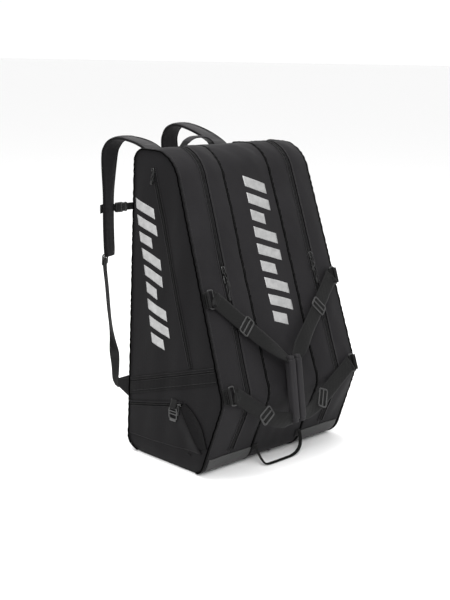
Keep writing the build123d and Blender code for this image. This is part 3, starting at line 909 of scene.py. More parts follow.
TACK_CORNERS = ((-102, 46), (-88, 46), (-102, 50), (-88, 50))
bellows.append(side_patch("tack", TACK_CORNERS, lift=2.4, thick=1.6, outside=BAND, pitch=2.0))
fold(join(bellows), "left", "shell_fabric", "bellows_gusset")


def pocket_rise(u, v):
    """The shoe pocket's panel lifts towards its front edge."""
    return 6.2 * ease((u - 0.80) / 0.2) * np.sin(np.clip(v * 0.9 + 0.08, 0, 1) * math.pi) ** 0.7


POCKET_CORNERS = ((131, 44), (-140, 60), (131, 121), (-63, 163))
POCKET_FOOT = [(130, 47), (0, 52), (-136, 62)]
pocket = side_patch("shoe_pocket_cloth", POCKET_CORNERS, lift=1.6, thick=1.5, outside=SHADED_SHELL, bulge=pocket_rise)
pocket_foot = side_stitches("pocket_foot", POCKET_FOOT, lift=1.7)
ride(join([pocket, pocket_foot]), "bag", "shell_fabric", "shoe_pocket")
SHOE_ZIP = ((131.0, 124.0), (-66.0, 167.0))
COVER_CORNERS = ((131, 127.5), (-70, 170.5), (131, 132.5), (-70, 176))
shoe_zip = side_zip("shoe_pocket_zip_line", *SHOE_ZIP, width=8.0)
cover = side_patch("zip_cover", COVER_CORNERS, lift=3.2, thick=1.8, outside=SHADED_SHELL, pitch=3.0)
ride(join([shoe_zip, cover]), "bag", "zip_tape", "shoe_pocket_zip")
SIDE_ZIP = ((60.0, 727.0), (-92.0, 262.0))
fold(side_zip("side_pocket_zip_line", *SIDE_ZIP, width=9.0), "left", "zip_tape", "side_pocket_zip")


# --- Generic print: a column of slanted silver bars on the front and on the left side
BAR_REACH = (1.0, 1.0, 0.62)  # widths of three bars in turn, as shares of the column's
BAR_COUNT = 9
BAR_SKEW = 0.32
BAR_SHARE = 0.62  # of the pitch
FRONT_BARS = (385.0, 80.0)  # length and width of the column
SIDE_BARS = (380.0, 66.0)
FRONT_BARS_TOP = (15.0, 690.0)  # across and height
SIDE_BARS_TOP = (92.0, 640.0)  # y and height
SIDE_BARS_LEAN = 0.22815  # towards the front, per millimetre down


def bars(name, place, length, width):
    """Slanted bars down a column. Place turns (distance down, distance across) into points at a lift."""
    pitch = length / BAR_COUNT
    found = []
    for index in range(BAR_COUNT):
        reach = BAR_REACH[index % 3]
        down = np.linspace(0, pitch * BAR_SHARE, 7)[:, None] + index * pitch
        across = (np.linspace(-0.5, 0.5, 15) * width * reach + (reach - 1) * width / 2)[None, :]
        shift = down + across * BAR_SKEW
        across = np.broadcast_to(across, shift.shape)
        found.append(slab(f"{name}{index}", place(shift, across, 0.45), place(shift, across, -0.2), SILVER))
    return found


def front_place(down, across, lift):
    return shell(across + FRONT_BARS_TOP[0], front_run(FRONT_BARS_TOP[1]) - down, lift)


def side_place(down, across, lift):
    fall = down * 0.96
    return left_side(SIDE_BARS_TOP[0] - fall * SIDE_BARS_LEAN - across, SIDE_BARS_TOP[1] - fall, lift)


ride(join(bars("front_bar", front_place, *FRONT_BARS), "front_print"), "bag", "shell_fabric")
fold(join(bars("side_bar", side_place, *SIDE_BARS), "side_print"), "left", "shell_fabric")

# --- Zip sliders and their pulls
SLOPE = math.atan(LEAN)
SLOPE_UP = np.array([0, math.sin(SLOPE), math.cos(SLOPE)])
SLOPE_OUT = np.array([0, -math.cos(SLOPE), math.sin(SLOPE)])


def on_slope(x, z, out):
    return np.array([x, BELLY_Y + LEAN * (z - BELLY_Z), z]) + SLOPE_OUT * out


def zip_slider(name, place, along, out, size=1.25):
    """A slider: a body that narrows to its tail, with a bridge over it for the pull."""
    along, out = unit(along), unit(out)
    share = np.array([-1, -0.96, -0.8, -0.3, 0.4, 0.85, 0.97, 1])
    width = np.array([0.45, 0.6, 0.72, 0.9, 1.0, 0.95, 0.82, 0.6])
    path = place + share[:, None] * along * 7.5 * size
    section = oval(9.5 * size, 3.6 * size, 16, 3.2)[None] * width[:, None, None]
    body = sweep(f"{name}_body", path, section, out, SLIDER)
    angle = np.linspace(0, math.pi, 11)[:, None]
    arch = place + along * 4.6 * size * np.cos(angle) + out * (1.6 + 3.0 * np.sin(angle)) * size
    bridge = sweep(f"{name}_bridge", arch, oval(3.0 * size, 1.3 * size, 10, 3), np.cross(along, out), SLIDER)
    return join([body, bridge])


def cord_pull(name, top, along, out, length):
    """A doubled cord with a moulded end, hanging from a slider's bridge."""
    along, out = unit(along), unit(out)
    across = np.cross(out, along)
    strand = []
    for share in np.linspace(0, 1, 15):
        strand.append(top + along * length * 0.72 * share + across * 3.2 * math.sin(math.pi * share) ** 0.6)
    other = [2 * (top + along * np.dot(p - top, along)) - p for p in strand[::-1]]
    loop = sweep(f"{name}_loop", np.array(strand + other[1:-1]), oval(2.4, 2.4, 8), out, PULL, closed=True)
    tip = rounded_box(f"{name}_tip", top + along * length * 0.82, (length * 0.34, 7.4, 3.8), along, out, PULL)
    ribs = [rounded_box(f"{name}_rib{k}", top + along * length * (0.74 + 0.07 * k) + out * 1.7,
                        (1.4, 5.6, 1.4), along, out, PULL) for k in range(3)]
    return join([loop, tip, *ribs])


# Main sliders: height, nose up or down, then the pull's height, shift inwards, lift and turn outwards
MAIN_SLIDERS = {
    "upper": (492.0, 1, 490.0, 1.5, 11.5, 0.10),
    "lower": (470.0, -1, 459.0, 1.0, 10.5, -0.05),
}
for name, sign in SIDES:
    for level, (z, nose, pull_z, shift, pull_lift, turn) in MAIN_SLIDERS.items():
        part = f"{name}_{level}"
        x = sign * ZIP_X * (1 - TAPER * z / HEIGHT)
        slide = zip_slider(f"{part}_slider_piece", on_slope(x, z, 8.4), SLOPE_UP * nose, SLOPE_OUT)
        ride(slide, f"{part}_slider", "slider_metal", f"{part}_slider")
        top = on_slope(x - sign * shift, pull_z, pull_lift)
        pull = cord_pull(f"{part}_pull_piece", top, -SLOPE_UP - X_AXIS * sign * turn, SLOPE_OUT, 40.0)
        ride(pull, f"{part}_pull", "pull_cord", f"{part}_pull")

SMALL_SLIDER = 0.85


def zip_line(ends):
    """Start and direction of a straight zip on the left side."""
    start, end = (np.array([0, *place]) for place in ends)
    return start, unit(end - start)


zip_start, zip_along = zip_line(SIDE_ZIP)
slider_at = zip_start + zip_along * 5
slider_at = left_side(slider_at[1], slider_at[2], 3.0)
pull_at = slider_at + zip_along * 7 - X_AXIS * 2.6
slide = zip_slider("side_pocket_slider_piece", slider_at, -zip_along, -X_AXIS, SMALL_SLIDER)
ride(slide, "side_pocket_slider", "slider_metal", "side_pocket_slider")
pull = cord_pull("side_pocket_pull_piece", pull_at, zip_along + Y_AXIS * 0.55, -X_AXIS, 28.0)
ride(pull, "side_pocket_pull", "pull_cord", "side_pocket_pull")

shoe_at = left_side(-61.0, 165.0, 3.6)
slide = zip_slider("shoe_slider_body", shoe_at, zip_line(SHOE_ZIP)[1], -X_AXIS, SMALL_SLIDER)
tag = cord_pull("shoe_slider_tag", shoe_at + np.array([-3.4, 0, -1.5]), (0, 0.05, -1), -X_AXIS, 24.0)
ride(join([slide, tag], "shoe_slider_piece"), "shoe_slider", "slider_metal", "shoe_zip_slider")

# --- Ladder lock on the shoe pocket, and the webbing loop that holds it
LOCK_Y = -42.0
LOCK_LOOP = [(176.0, 2.0), (166.0, 3.6), (157.5, 7.4), (154.1, 9.0), (152.5, 6.6), (155.5, 4.2)]  # (z, lift)
lock_middle = left_side(LOCK_Y, 145.0, 5.0)
lock = buckle_frame("ladder_lock_piece", lock_middle - Z_AXIS * 4.5, Z_AXIS, -X_AXIS,
                    length=30.0, height=30.0, bar=3.4, thick=3.6, crossbars=(-0.12, 0.42))
foot = rounded_box("ladder_lock_foot", lock_middle + np.array([-0.4, 0, -20.5]), (7.5, 22.0, 3.0), Z_AXIS,
                   -X_AXIS, BUCKLE, ends=0.5)
ride(join([lock, foot]), "ladder_lock", "buckle_plastic", "ladder_lock")
lock_loop = smooth_path([left_side(LOCK_Y, z, lift) for z, lift in LOCK_LOOP], 1.5)
ride(sweep("ladder_lock_loop", lock_loop, flat_section(21, 1.4), (-1, 0, 0.01), WEB), "bag", "webbing")

# --- Duffle handles
RING_X = 220.0
RING_Z = {"lower": 213.0, "upper": 432.0}
RING_BAR = 8.3  # from a ring's middle to its bars
GRIP_X = {"left": -26.0, "right": -3.0}
GRIP_END = {"lower": (-236.0, 116.0), "upper": (-212.0, 280.0)}  # (y, z)
GRIP_WIDE, GRIP_DEEP = 17.5, 24.0
HANDLE_WEB = 40.0
# For each tri-glide: its place along the webbing as a share, how far the webbing droops there, and how far it
# sits askew on the webbing, in degrees
GLIDES = {
    "left": {"lower": (0.49, 20.0, 29.0), "upper": (0.42, 4.0, 4.0)},
    "right": {"lower": (0.6, 8.0, 50.0), "upper": (0.38, 1.0, 0.0)},
}


def webbing_run(name, path, facing, widths, thick=1.7):
    """Webbing along path. Widths is one width, or one per path point."""
    widths = np.broadcast_to(widths, len(path))
    return sweep(name, path, np.stack([flat_section(width, thick, 9) for width in widths]), facing, WEB)


def handle_anchor(name, sign, ring, ring_z):
    """Webbing sewn into the edge seam, round the ring's outer bar and back."""
    inward = -sign * X_AXIS
    run = front_run(ring_z)
    bar = ring - inward * RING_BAR
    loop = [shell(sign * (HALF - 2), run, 1.5), shell(sign * (HALF - 15), run, 3.2),
            bar + SLOPE_OUT * 2.6 - inward * 5, bar + SLOPE_OUT * 2.9 + inward * 0.5, bar + inward * 3.2,
            bar - SLOPE_OUT * 2.9 + inward * 0.3, bar - SLOPE_OUT * 3.4 - inward * 6,
            shell(sign * (HALF - 17), run, 1.6), shell(sign * (HALF - 3), run, 0.5)]
    loop = smooth_path(loop, 1.6)
    turnover = unit(np.cross(headings(loop), SLOPE_UP)) * sign
    anchor = [webbing_run(f"{name}_anchor", loop, turnover, HANDLE_WEB)]
    for offset in (7.0, 11.0):
        line = shell(sign * (HALF - offset), run + np.linspace(-17, 17, 10), 4.3)
        anchor.append(stitches(f"{name}_tack{offset}", line, SLOPE_OUT))
    return anchor


def handle_side(side_name, sign, level, grip_end):
    """Ring, tri-glide and webbing from one ring to one end of the grip, and the ring's anchor on the case."""
    name = f"{side_name}_{level}"
    turn = 1 if level == "upper" else -1
    inward = -sign * X_AXIS
    ring = on_slope(sign * RING_X, RING_Z[level], 14.0)
    hardware = [buckle_frame(f"{name}_ring", ring, inward, SLOPE_OUT,
                             length=20.0, height=48.0, bar=3.6, thick=3.6)]
    start = ring + inward * RING_BAR
    end = grip_end + np.array([sign * 2.0, 0, turn * -8.0])
    span = end - start
    along = unit(span)
    lift = square_to(along, SLOPE_OUT)
    across = np.cross(along, lift)
    glide_at, droop, askew = GLIDES[side_name][level]
    droop, askew = SLOPE_UP * -droop, math.radians(askew)
    # The webbing goes round the ring's bar, back under itself to the glide, and on to the grip
    middle = start + span * glide_at + droop
    slope = unit(middle - start)
    knots = [start + lift * 2.9, start + (middle - start) * 0.3 + lift * 1.6, middle + lift * 0.8,
             start + span * (glide_at + 0.22) + droop * 0.9 - lift, start + span * 0.93 + droop * 0.2, end]
    path = smooth_path(knots, 5.0)
    share = run_shares(path)
    widths = HANDLE_WEB - 12.0 * ease((share - 0.84) / 0.16)
    twist = math.radians(26) * ease((share - 0.6) / 0.4) * -turn * sign
    facing = lift * np.cos(twist)[:, None] - across * np.sin(twist)[:, None]
    webbing = [webbing_run(f"{name}_web", path, facing, widths)]
    under = [middle + slope * 9 - lift * 1.8, start + (middle - start) * 0.6 - lift * 1.6,
             start + slope * 18 - lift * 1.8, start - lift * 2.8, start + inward * -3.4,
             start + lift * 2.9 + inward * -0.6, start + lift * 2.8 + inward * 3]
    under = smooth_path(under, 1.6)
    turnover = unit(np.cross(across, headings(under)))
    webbing.append(webbing_run(f"{name}_return", under, turnover, HANDLE_WEB - 1))
    turned = slope * math.cos(askew) + across * math.sin(askew)
    hardware.append(buckle_frame(f"{name}_glide", middle + lift * 1.6, turned, lift,
                                 length=30.0, height=48.0, bar=3.8, thick=3.6, crossbars=(0.0,)))
    for offset in (10.0, 15.0):
        line = start + slope * offset + lift * 2.9 + np.linspace(-16, 16, 12)[:, None] * across
        webbing.append(stitches(f"{name}_bar{offset}", line, lift))
    return hardware, webbing, handle_anchor(name, sign, ring, RING_Z[level])


def squarish(angle, size):
    """Points round a squarish shape at angles from its top."""
    sine, cosine = np.sin(angle), np.cos(angle)
    return np.stack([np.sign(sine) * np.abs(sine) ** 0.62 * size[0],
                     np.sign(cosine) * np.abs(cosine) ** 0.62 * size[1]], 1)


def grip_pad(name, bottom, top):
    """The padded wrap round the webbing, closed by a flap along its length."""
    columns, rows = 28, 40
    share = np.linspace(0, 1, rows)
    path = bottom + (top - bottom) * share[:, None]
    ends = 0.86 + 0.14 * np.clip(np.sin(math.pi * share) * 4.5, 0, 1) ** 0.6
    section = oval(GRIP_WIDE, GRIP_DEEP, columns, 3.2)[None] * ends[:, None, None]
    core = sweep(f"{name}_grip_core", path, section, SLOPE_OUT, GRIP)
    inflate(core, [*range(2 * columns), *range((rows - 2) * columns, rows * columns + 2)],
            pressure=4.0, cap=1.2)
    along = unit(top - bottom)
    out = square_to(along, SLOPE_OUT)
    across = np.cross(along, out)
    shape = squarish(np.radians(np.linspace(-105, 80, 26)), (GRIP_WIDE / 2 + 1.4, GRIP_DEEP / 2 + 1.4))
    down = path[2:-2]
    # The flap's corners are round
    reach = 1 - 0.16 * (1 - np.clip(np.sin(math.pi * np.linspace(0.03, 0.97, len(down))) * 6, 0, 1)) ** 2
    shape = shape[None] * reach[:, None, None]
    outer = down[:, None] + across * shape[..., :1] + out * shape[..., 1:]
    inner = down[:, None] + across * shape[..., :1] * 0.88 + out * shape[..., 1:] * 0.90
    pieces = [core, slab(f"{name}_grip_flap", outer, inner, GRIP)]
    for column in (2, 23):
        away = (outer - inner)[:, column]
        pieces.append(stitches(f"{name}_grip_seam{column}", outer[:, column] + away * 0.15, unit(away)))
    return join(pieces, f"{name}_grip_pad")


def handle(name, sign):
    grip_ends = {level: np.array([GRIP_X[name], *place]) for level, place in GRIP_END.items()}
    made = [handle_side(name, sign, level, end) for level, end in grip_ends.items()]
    hardware, webbing, anchors = ([piece for part in made for piece in part[kind]] for kind in range(3))
    ride(join(hardware), f"{name}_handle", "buckle_plastic", f"{name}_handle_hardware")
    ride(join(webbing), f"{name}_handle", "webbing", f"{name}_handle_webbing")
    ride(join(anchors), f"{name}_flap", "webbing", f"{name}_handle_anchors")
    grip = grip_pad(name, grip_ends["lower"], grip_ends["upper"])
    ride(grip, f"{name}_handle", "grip_wrap", f"{name}_grip")


for name, sign in SIDES:
    handle(name, sign)


# --- Shoulder straps, modelled on the left and mirrored
def in_side_plane(path):
    """The outward direction, away from the case, along a path in a plane of constant x."""
    along = headings(path)
    return np.stack([np.zeros(len(path)), -along[:, 2], along[:, 1]], 1)


STRAP_X = 117.0
PAD_WIDTH = 56.0
PAD_LINE = [(157, 716), (170, 738), (196, 758), (240, 772), (300, 778), (336, 770), (358, 752), (369, 725),
            (374, 640), (375, 540), (371, 455)]
PAD_TWIST = math.radians(24)
RIGHT_ARCH = np.array([-17.0, 17.0, 25.0])  # the right strap arches further than the left
CHEST_Y, CHEST_Z = 376.0, 584.0
STRAP_WEB = 25.0
ROOT_LINE = [(139.5, 668), (141, 690), (147, 704), (158, 719), (168, 734)]
WEB_KNOTS = [(-121.0, 386, 449), (-128, 377, 420), (-139, 356, 378), (-161, 319, 312), (-187, 273, 254),
             (-212, 232, 207), (-232, 205, 169), (-234.5, 187, 160)]
HOLDER_KNOTS = [(-118.0, 369, 478), (-118, 373, 466), (-119, 381, 459), (-119.5, 384, 456)]
pad_path = smooth_path([(-STRAP_X, y, z) for y, z in PAD_LINE], 5.0)
pad_share = run_shares(pad_path)
pad_turn = PAD_TWIST * ease((pad_share - 0.42) / 0.3)[:, None]
pad_out = in_side_plane(pad_path) * np.cos(pad_turn) - X_AXIS * np.sin(pad_turn)


def strap_pad(name, path, out):
    """The padded part: fabric outside, mesh inside, bound and stitched along both edges."""
    count, half = len(path), 13
    ends = 0.86 + 0.14 * np.clip(np.sin(math.pi * pad_share) * 9, 0, 1) ** 0.5
    section = flat_section(PAD_WIDTH - 4, 7.0, half, crown=2.8)
    section[half:, 1] -= 1.2 * (1 - (section[half:, 0] / (PAD_WIDTH / 2 - 2)) ** 2)
    sections = section[None] * np.stack([ends, np.ones(count)], 1)[:, None, :]
    marks = [0] * half + [1] * (half - 1) + [0]
    pad = sweep(f"{name}_pad_body", path, sections, out, [PAD, MESH_CLOTH], column_marks=marks)
    # The pad is held flat at its ends and under the chest strap's slide
    pinched = int(np.argmin(np.abs(path[:, 2] - CHEST_Z) + (pad_share < 0.5) * 1000))
    held = [0, 1, count - 2, count - 1, *range(pinched - 2, pinched + 3)]
    sewn = {row * 2 * half + k for row in range(count) for k in (0, half - 1, half, 2 * half - 1)}
    sewn |= {row * 2 * half + k for row in held for k in range(2 * half)}
    inflate(pad, [*sewn, count * 2 * half, count * 2 * half + 1], pressure=5.0, cap=3.5)
    skin = points_of(pad)[:count * 2 * half].reshape(count, 2 * half, 3)
    across = unit(np.cross(headings(path), out))
    parts = [pad]
    for hand, column, next_column in ((-1, 1, 2), (1, half - 2, half - 3)):
        edge = path + across * hand * (PAD_WIDTH / 2 - 2.0) * ends[:, None]
        parts.append(sweep(f"{name}_binding{hand}", edge, oval(4.4, 6.4, 10, 2.6), out, BAND))
        near = skin[:, column] * 0.6 + skin[:, next_column] * 0.4
        parts.append(stitches(f"{name}_pad_seam{hand}", near + out * 0.2, out))
    return join(parts, f"{name}_strap_pad_piece"), pinched, across


def strap_webbing(name, sign, flip, last_out):
    """Webbing from the lock down to the tab, and the short loop that holds the lock."""
    line = smooth_path(WEB_KNOTS * flip, 6.0)
    late = ease((run_shares(line)[:, None] - 0.45) / 0.55)
    facing = last_out * (1 - late) + np.array([-sign, 0.2, 0]) * late
    web = webbing_run(f"{name}_strap_run", line, facing, STRAP_WEB, 1.6)
    holder = smooth_path(HOLDER_KNOTS * flip, 2.0)
    hold = webbing_run(f"{name}_strap_holder", holder, last_out, STRAP_WEB, 1.8)
    # The webbing runs from the tab, which stays with the case, to the lock, which swings with the strap
    bend(join([web, hold], f"{name}_strap_webbing"), f"{name}_strap", (0, 0.206, 0.170), (0, 0.386, 0.449),
         "webbing", f"{name}_strap_web")


def strap_root(name, flip):
    """The strap's end, sewn into the yoke."""
    root = smooth_path([(-STRAP_X, y, z) for y, z in ROOT_LINE] * flip, 3.0)
    sections = np.stack([flat_section(width, 4.5, 11, crown=1.0) for width in np.linspace(60, 53, len(root))])
    piece = sweep(f"{name}_strap_root", root, sections, in_side_plane(root), PAD)
    bend(piece, f"{name}_strap", (0, 0.140, 0.690), (0, 0.160, 0.722), "strap_padding")


def strap(name, sign):
    flip = np.array([-sign, 1, 1])
    path, out = pad_path * flip, pad_out * flip
    if sign > 0:
        path += np.sin(math.pi * np.clip(pad_share / 0.7, 0, 1))[:, None] ** 2 * RIGHT_ARCH
    pad, pinched, across = strap_pad(name, path, out)
    ride(pad, f"{name}_strap", "strap_padding", f"{name}_strap_pad")
    strap_webbing(name, sign, flip, out[-1])
    lock_at = np.array([-120.0, 387.0, 444.0]) * flip
    lock = buckle_frame(f"{name}_strap_lock", lock_at, np.array([0, -0.1, 1.0]), out[-1],
                        length=32.0, height=33.0, bar=3.8, thick=4.0, crossbars=(-0.15, 0.45))
    # Rail and slide of the chest strap, on the outside of the pad
    near = slice(pinched - 9, pinched + 10)
    rail = sweep(f"{name}_rail", path[near] + out[near] * 7.4, flat_section(9, 1.4), out[near], BUCKLE)
    reach = np.linspace(-1, 1, 15)[:, None] * (PAD_WIDTH / 2 + 1)
    slide_path = path[pinched] + out[pinched] * 8.8 + reach * across[pinched]
    slide = sweep(f"{name}_slide", slide_path, oval(24, 3.2, 16, 3.4), out[pinched], BUCKLE)
    ride(join([lock, rail, slide], f"{name}_strap_buckles"), f"{name}_strap", "buckle_plastic",
         f"{name}_strap_hardware")
    strap_root(name, flip)


for name, sign in SIDES:
    strap(name, sign)

# --- Quilted padding on the back: two long pads, each sewn down along its edge and in slanted channels
BACK_PAD_X = (26.0, 150.0)
BACK_PAD_Z = (190.0, 636.0)
BACK_PAD_CORNER = 18
CHANNEL_ROWS = 13
CHANNEL_SLANT = 0.35


def back_y(x, z):
    """The back sheet's skin at a place."""
    return shell(x / width_at(z), back_run(z))[..., 1]


def on_back(x, z, lift):
    return np.stack([x, back_y(x, z) + lift, z], -1)


def back_pad(name, sign):
    wide, high = BACK_PAD_X[1] - BACK_PAD_X[0], BACK_PAD_Z[1] - BACK_PAD_Z[0]
    across, level = np.linspace(0, 1, 27), np.linspace(0, 1, 91)
    x, z = np.meshgrid(sign * (BACK_PAD_X[0] + wide * across), BACK_PAD_Z[0] + high * level)
    # Rounded corners: the sides draw in towards each end
    from_end = np.clip(np.minimum(level, 1 - level)[:, None] * high / BACK_PAD_CORNER, 0, 1)
    draw = BACK_PAD_CORNER * (1 - np.sqrt(np.clip(1 - (1 - from_end) ** 2, 0, 1)))
    middle = sign * sum(BACK_PAD_X) / 2
    x = middle + (x - middle) * (1 - draw / wide * 1.6)
    channel = np.round((z - BACK_PAD_Z[0] + CHANNEL_SLANT * np.abs(x)) / (z[1, 0] - z[0, 0])).astype(int)
    sewn = channel % CHANNEL_ROWS == 0
    sewn[[0, -1]] = True
    sewn[:, [0, -1]] = True
    pad = slab(name, on_back(x, z, np.where(sewn, 1.0, 4.0)), on_back(x, z, -1.0), MESH_CLOTH, flip=sign > 0)
    count = x.size
    inflate(pad, [*np.flatnonzero(sewn.ravel()), *range(count, 2 * count)], pressure=6.0, cap=7.0)
    skin = points_of(pad)[:count].reshape(*x.shape, 3)
    edge = np.concatenate([skin[1:-1, 1], skin[-2, 1:-1], skin[-2:0:-1, -2], skin[1, -2:0:-1]])
    pad.modifiers.new("smooth", "SUBSURF").levels = 1
    lines = stitches(f"{name}_seam", edge, Y_AXIS)
    ride(pad, "bag", "back_padding")
    ride(lines, "bag", "back_padding")


for name, sign in SIDES:
    back_pad(f"{name}_back_pad", sign)

# --- Yoke that holds the strap roots
YOKE_Z = 675
YOKE_HALF = 25  # half its height
YOKE_BOX = [(-14, -12), (14, -12), (14, 12), (-14, 12), (-14, -12), (14, 12), (14, -12), (-14, 12)]
yoke_shape = []
for z in np.linspace(YOKE_Z - YOKE_HALF, YOKE_Z + YOKE_HALF, 9):
    from_middle = abs((z - YOKE_Z) / YOKE_HALF)
    x = np.linspace(-155, 155, 60) * (1 - 0.012 * from_middle**4)
    yoke_shape.append(on_back(x, np.full(60, z), 1.6 + 2.4 * (1 - from_middle**3) + 0.5 * np.sin(x / 9.0)))
yoke_outer = np.array(yoke_shape)
yoke = [slab("yoke", yoke_outer, on_back(yoke_outer[..., 0], yoke_outer[..., 2], -0.8), BAND, flip=True)]
for z in (654.0, 696.0):
    yoke.append(stitches(f"yoke_seam{z}", on_back(np.linspace(-150, 150, 80), np.full(80, z), 2.9), Y_AXIS))
box = np.concatenate([np.linspace(a, b, 8) for a, b in zip(YOKE_BOX, YOKE_BOX[1:])])
for x in (-117, 117, -60, 60):
    yoke.append(stitches(f"yoke_box{x}", on_back(x + box[:, 0], YOKE_Z + box[:, 1], 4.3), Y_AXIS))
ride(join(yoke, "strap_yoke_piece"), "bag", "back_padding", "strap_yoke")

# --- Tabs low on the back edges, where the strap webbing ends
TAB_X = 234.5
tabs = []
for _, sign in SIDES:
    share, level = np.linspace(0, 1, 16)[:, None], np.linspace(0, 1, 16)[None, :]
    y = BACK_Y - 4 + 66 * share + 0 * level
    z = (128 + 26 * share) * (1 - level) + (200 - 28 * share) * level
    puff = 1.3 * np.sin(math.pi * np.clip(share * 0.9 + 0.05, 0, 1)) ** 0.5 * np.sin(math.pi * level) ** 0.5
    outer, inner = (np.stack([sign * (TAB_X + face * (1.0 + puff)), y, z], -1) for face in (1, -1))
    tabs.append(slab(f"tab{sign}", outer, inner, BAND, flip=sign > 0))
    for edge, column in (("low", 2), ("high", 13)):
        tabs.append(stitches(f"tab_{edge}{sign}", outer[2:14, column] + X_AXIS * sign * 0.1, X_AXIS * sign))
ride(join(tabs, "strap_tab_pieces"), "bag", "shell_fabric", "strap_tabs")


# --- Chest strap, fastened
def chest_block(name, x, size, power, ends, out_y=0.0, up=0.0):
    return rounded_box(name, (x, CHEST_Y + out_y, CHEST_Z + up), size, X_AXIS, Y_AXIS, BUCKLE, power, ends)


CHEST_LINE = [(-57, 0, 584), (-20, 1, 583.2), (20, 1.2, 583), (60, 0.5, 583.4), (84, 0, 584)]
CHEST_LEAD = ((-101, 9, 584), (-88, 0, 584))
CHEST_WEB = 19.0
buckle = [chest_block("sternum_female", -82.0, (20, 27, 9.5), 4.5, 0.88),
          chest_block("sternum_male", -64.5, (17, 24, 7.6), 4.0, 0.8),
          buckle_frame("sternum_loop", np.array([-57.0, CHEST_Y, CHEST_Z]), X_AXIS, Y_AXIS,
                       length=10, height=26, bar=2.6, thick=4.6)]
buckle += [chest_block(f"sternum_prong{k}", -75.0, (12, 4.5, 8.2), 4.0, 0.82, 0.6, k * 11.5) for k in (-1, 1)]
ride(join(buckle, "sternum_buckle_piece"), "sternum_strap", "buckle_plastic", "sternum_buckle")
chest = smooth_path(CHEST_LINE + Y_AXIS * CHEST_Y, 4.0)
lead = np.linspace(*(CHEST_LEAD + Y_AXIS * CHEST_Y), 6)
chest_web = [webbing_run("chest_webbing", chest, Y_AXIS, CHEST_WEB, 1.5),
             webbing_run("chest_return", chest[:14] + Y_AXIS * 2.4, Y_AXIS, CHEST_WEB, 1.4),
             buckle_frame("chest_keeper", chest[13] + Y_AXIS, X_AXIS, Y_AXIS,
                          length=7, height=24, bar=2.2, thick=5.0),
             webbing_run("chest_lead", lead, Y_AXIS, CHEST_WEB, 1.5)]
ride(join(chest_web, "chest_strap_webbing"), "sternum_strap", "webbing", "sternum_web")

# --- Haul handle
HAUL_Y = 153.0
arch = [(-64.0, HAUL_Y, 704.0), (-64.0, HAUL_Y, 722.0)]
for t in np.linspace(0.15, math.pi / 2 - 0.12, 8):
    arch.append((-62 * math.cos(t) ** 0.85, HAUL_Y, 728 + 58 * math.sin(t)))
arch += [(-x, y, z) for x, y, z in arch[::-1]]
arch = smooth_path(arch, 4.0)
arch_along = headings(arch)
arch_out = np.stack([-arch_along[:, 2], np.zeros(len(arch)), arch_along[:, 0]], 1)
wrap = np.abs(arch[:, 0]) < 42
haul = [webbing_run("haul_web", arch, arch_out, 25.0, 3.0),
        sweep("haul_wrap", arch[wrap], oval(26.5, 5.4, 18, 3.0), arch_out[wrap], GRIP)]
for hand in (-1, 1):
    haul.append(stitches(f"haul_seam{hand}", arch + Y_AXIS * hand * 10.6 + arch_out * 1.5, arch_out))
ride(join(haul, "haul_handle_piece"), "haul_handle", "webbing", "haul_handle")

# --- Base loop and its sewn patches
LOOP_LINE = [(-77, -152, 50), (-77, -159, 34), (-75, -170, 17), (-72, -179, 6.5), (-66, -184, 2.6),
             (-50, -185.5, 2.2), (-37, -185.5, 2.2), (0, -185, 2.2), (24, -184, 2.6), (47, -181, 7),
             (66, -174, 16), (79, -164, 29), (85, -156, 42), (86, -152, 50)]
PATCH_RUN = (float(front_run(32.0)), float(front_run(52.0)))
base_loop = webbing_run("base_loop_piece", smooth_path(LOOP_LINE, 3.0), np.array([0, -0.25, 1.0]), 9.0, 1.9)
bend(base_loop, "base_loop", (0, -0.151, 0.050), (0, -0.159, 0.034), "webbing", "base_loop")
patches = []
for _, sign in SIDES:
    patches.append(panel(f"loop_patch{sign}", (sign * 72.0, sign * 88.0), PATCH_RUN, WEB,
                         pitch=3.0, thick=1.4, lift=2.2, inside=WEB))
    for k in (-1, 0, 1):
        line = shell(sign * 80.0 + np.linspace(-6, 6, 6), front_run(42.0 + 5 * k), 2.5)
        patches.append(stitches(f"loop_tack{sign}{k}", line, -Y_AXIS))
ride(join(patches, "base_loop_patches"), "bag", "webbing")

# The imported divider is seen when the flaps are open
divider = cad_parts["centre_divider"].data.materials
divider.clear()
divider.append(LINING)

# --- Camera, floor and light
CAMERA_EYE = (-2.0635, -2.0436, 1.0376)
CAMERA_TARGET = (-0.00143, 0.04046, 0.37277)
CAMERA_ROLL = math.radians(0.99)
CAMERA_LENS = 69.5
CAMERA_REACH = 50
FLOOR_HALF = 120000.0
FLOOR_DROP = 0.0018
WORLD_STRENGTH = 1.02
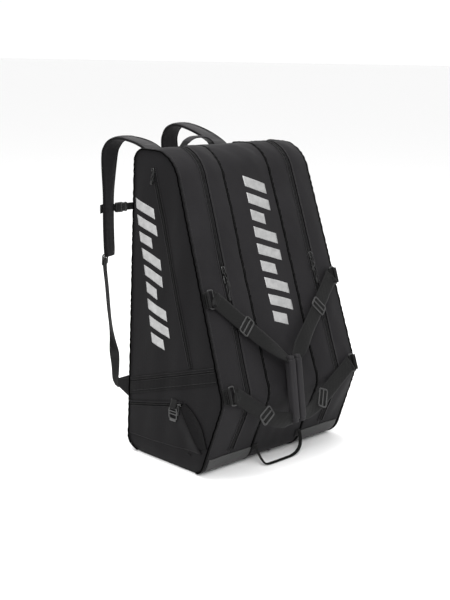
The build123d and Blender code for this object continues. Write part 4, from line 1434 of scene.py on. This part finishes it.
# Area lights: place, size and power
LIGHTS = {
    "key": ((-2.2, -2.9, 3.2), 2.2, 132),
    "fill": ((3.4, 0.6, 1.8), 2.4, 10),
    "left": ((-3.4, 0.4, 1.6), 2.0, 22),
    "top": ((-0.3, 0.2, 3.4), 2.4, 98),
}
LIT_POINT = Vector((0, 0, 0.4))


def place_camera():
    eye = Vector(CAMERA_EYE)
    look = (Vector(CAMERA_TARGET) - eye).normalized()
    right = look.cross(Vector((0, 0, 1))).normalized()
    up = right.cross(look)
    c, s = math.cos(CAMERA_ROLL), math.sin(CAMERA_ROLL)
    camera = bpy.data.objects.new("camera", bpy.data.cameras.new("camera"))
    camera.data.lens = CAMERA_LENS
    camera.data.clip_end = CAMERA_REACH
    turn = Matrix((right * c + up * s, up * c - right * s, -look)).transposed().to_4x4()
    camera.matrix_world = Matrix.Translation(eye) @ turn
    bpy.context.scene.collection.objects.link(camera)
    bpy.context.scene.camera = camera


def area_light(name, place, size, power):
    light = bpy.data.lights.new(name, "AREA")
    light.shape = "SQUARE"
    light.size = size
    light.energy = power
    lamp = bpy.data.objects.new(name, light)
    lamp.location = place
    lamp.rotation_euler = (LIT_POINT - Vector(place)).to_track_quat("-Z", "Y").to_euler()
    bpy.context.scene.collection.objects.link(lamp)


def studio():
    plane, _, shader = node_tools("floor")
    shader.inputs["Base Color"].default_value = (0.92, 0.92, 0.92, 1)
    shader.inputs["Roughness"].default_value = 0.8
    corners = [(x * FLOOR_HALF, y * FLOOR_HALF, 0) for x, y in ((-1, -1), (1, -1), (1, 1), (-1, 1))]
    floor = make("floor", corners, [(0, 1, 2, 3)], [plane])
    floor.location.z = -FLOOR_DROP
    world = bpy.data.worlds.new("world")
    bpy.context.scene.world = world
    world.use_nodes = True
    background = world.node_tree.nodes["Background"]
    background.inputs["Color"].default_value = (1, 1, 1, 1)
    background.inputs["Strength"].default_value = WORLD_STRENGTH
    for name, values in LIGHTS.items():
        area_light(name, *values)
    bpy.context.scene.view_settings.view_transform = "Standard"


place_camera()
studio()
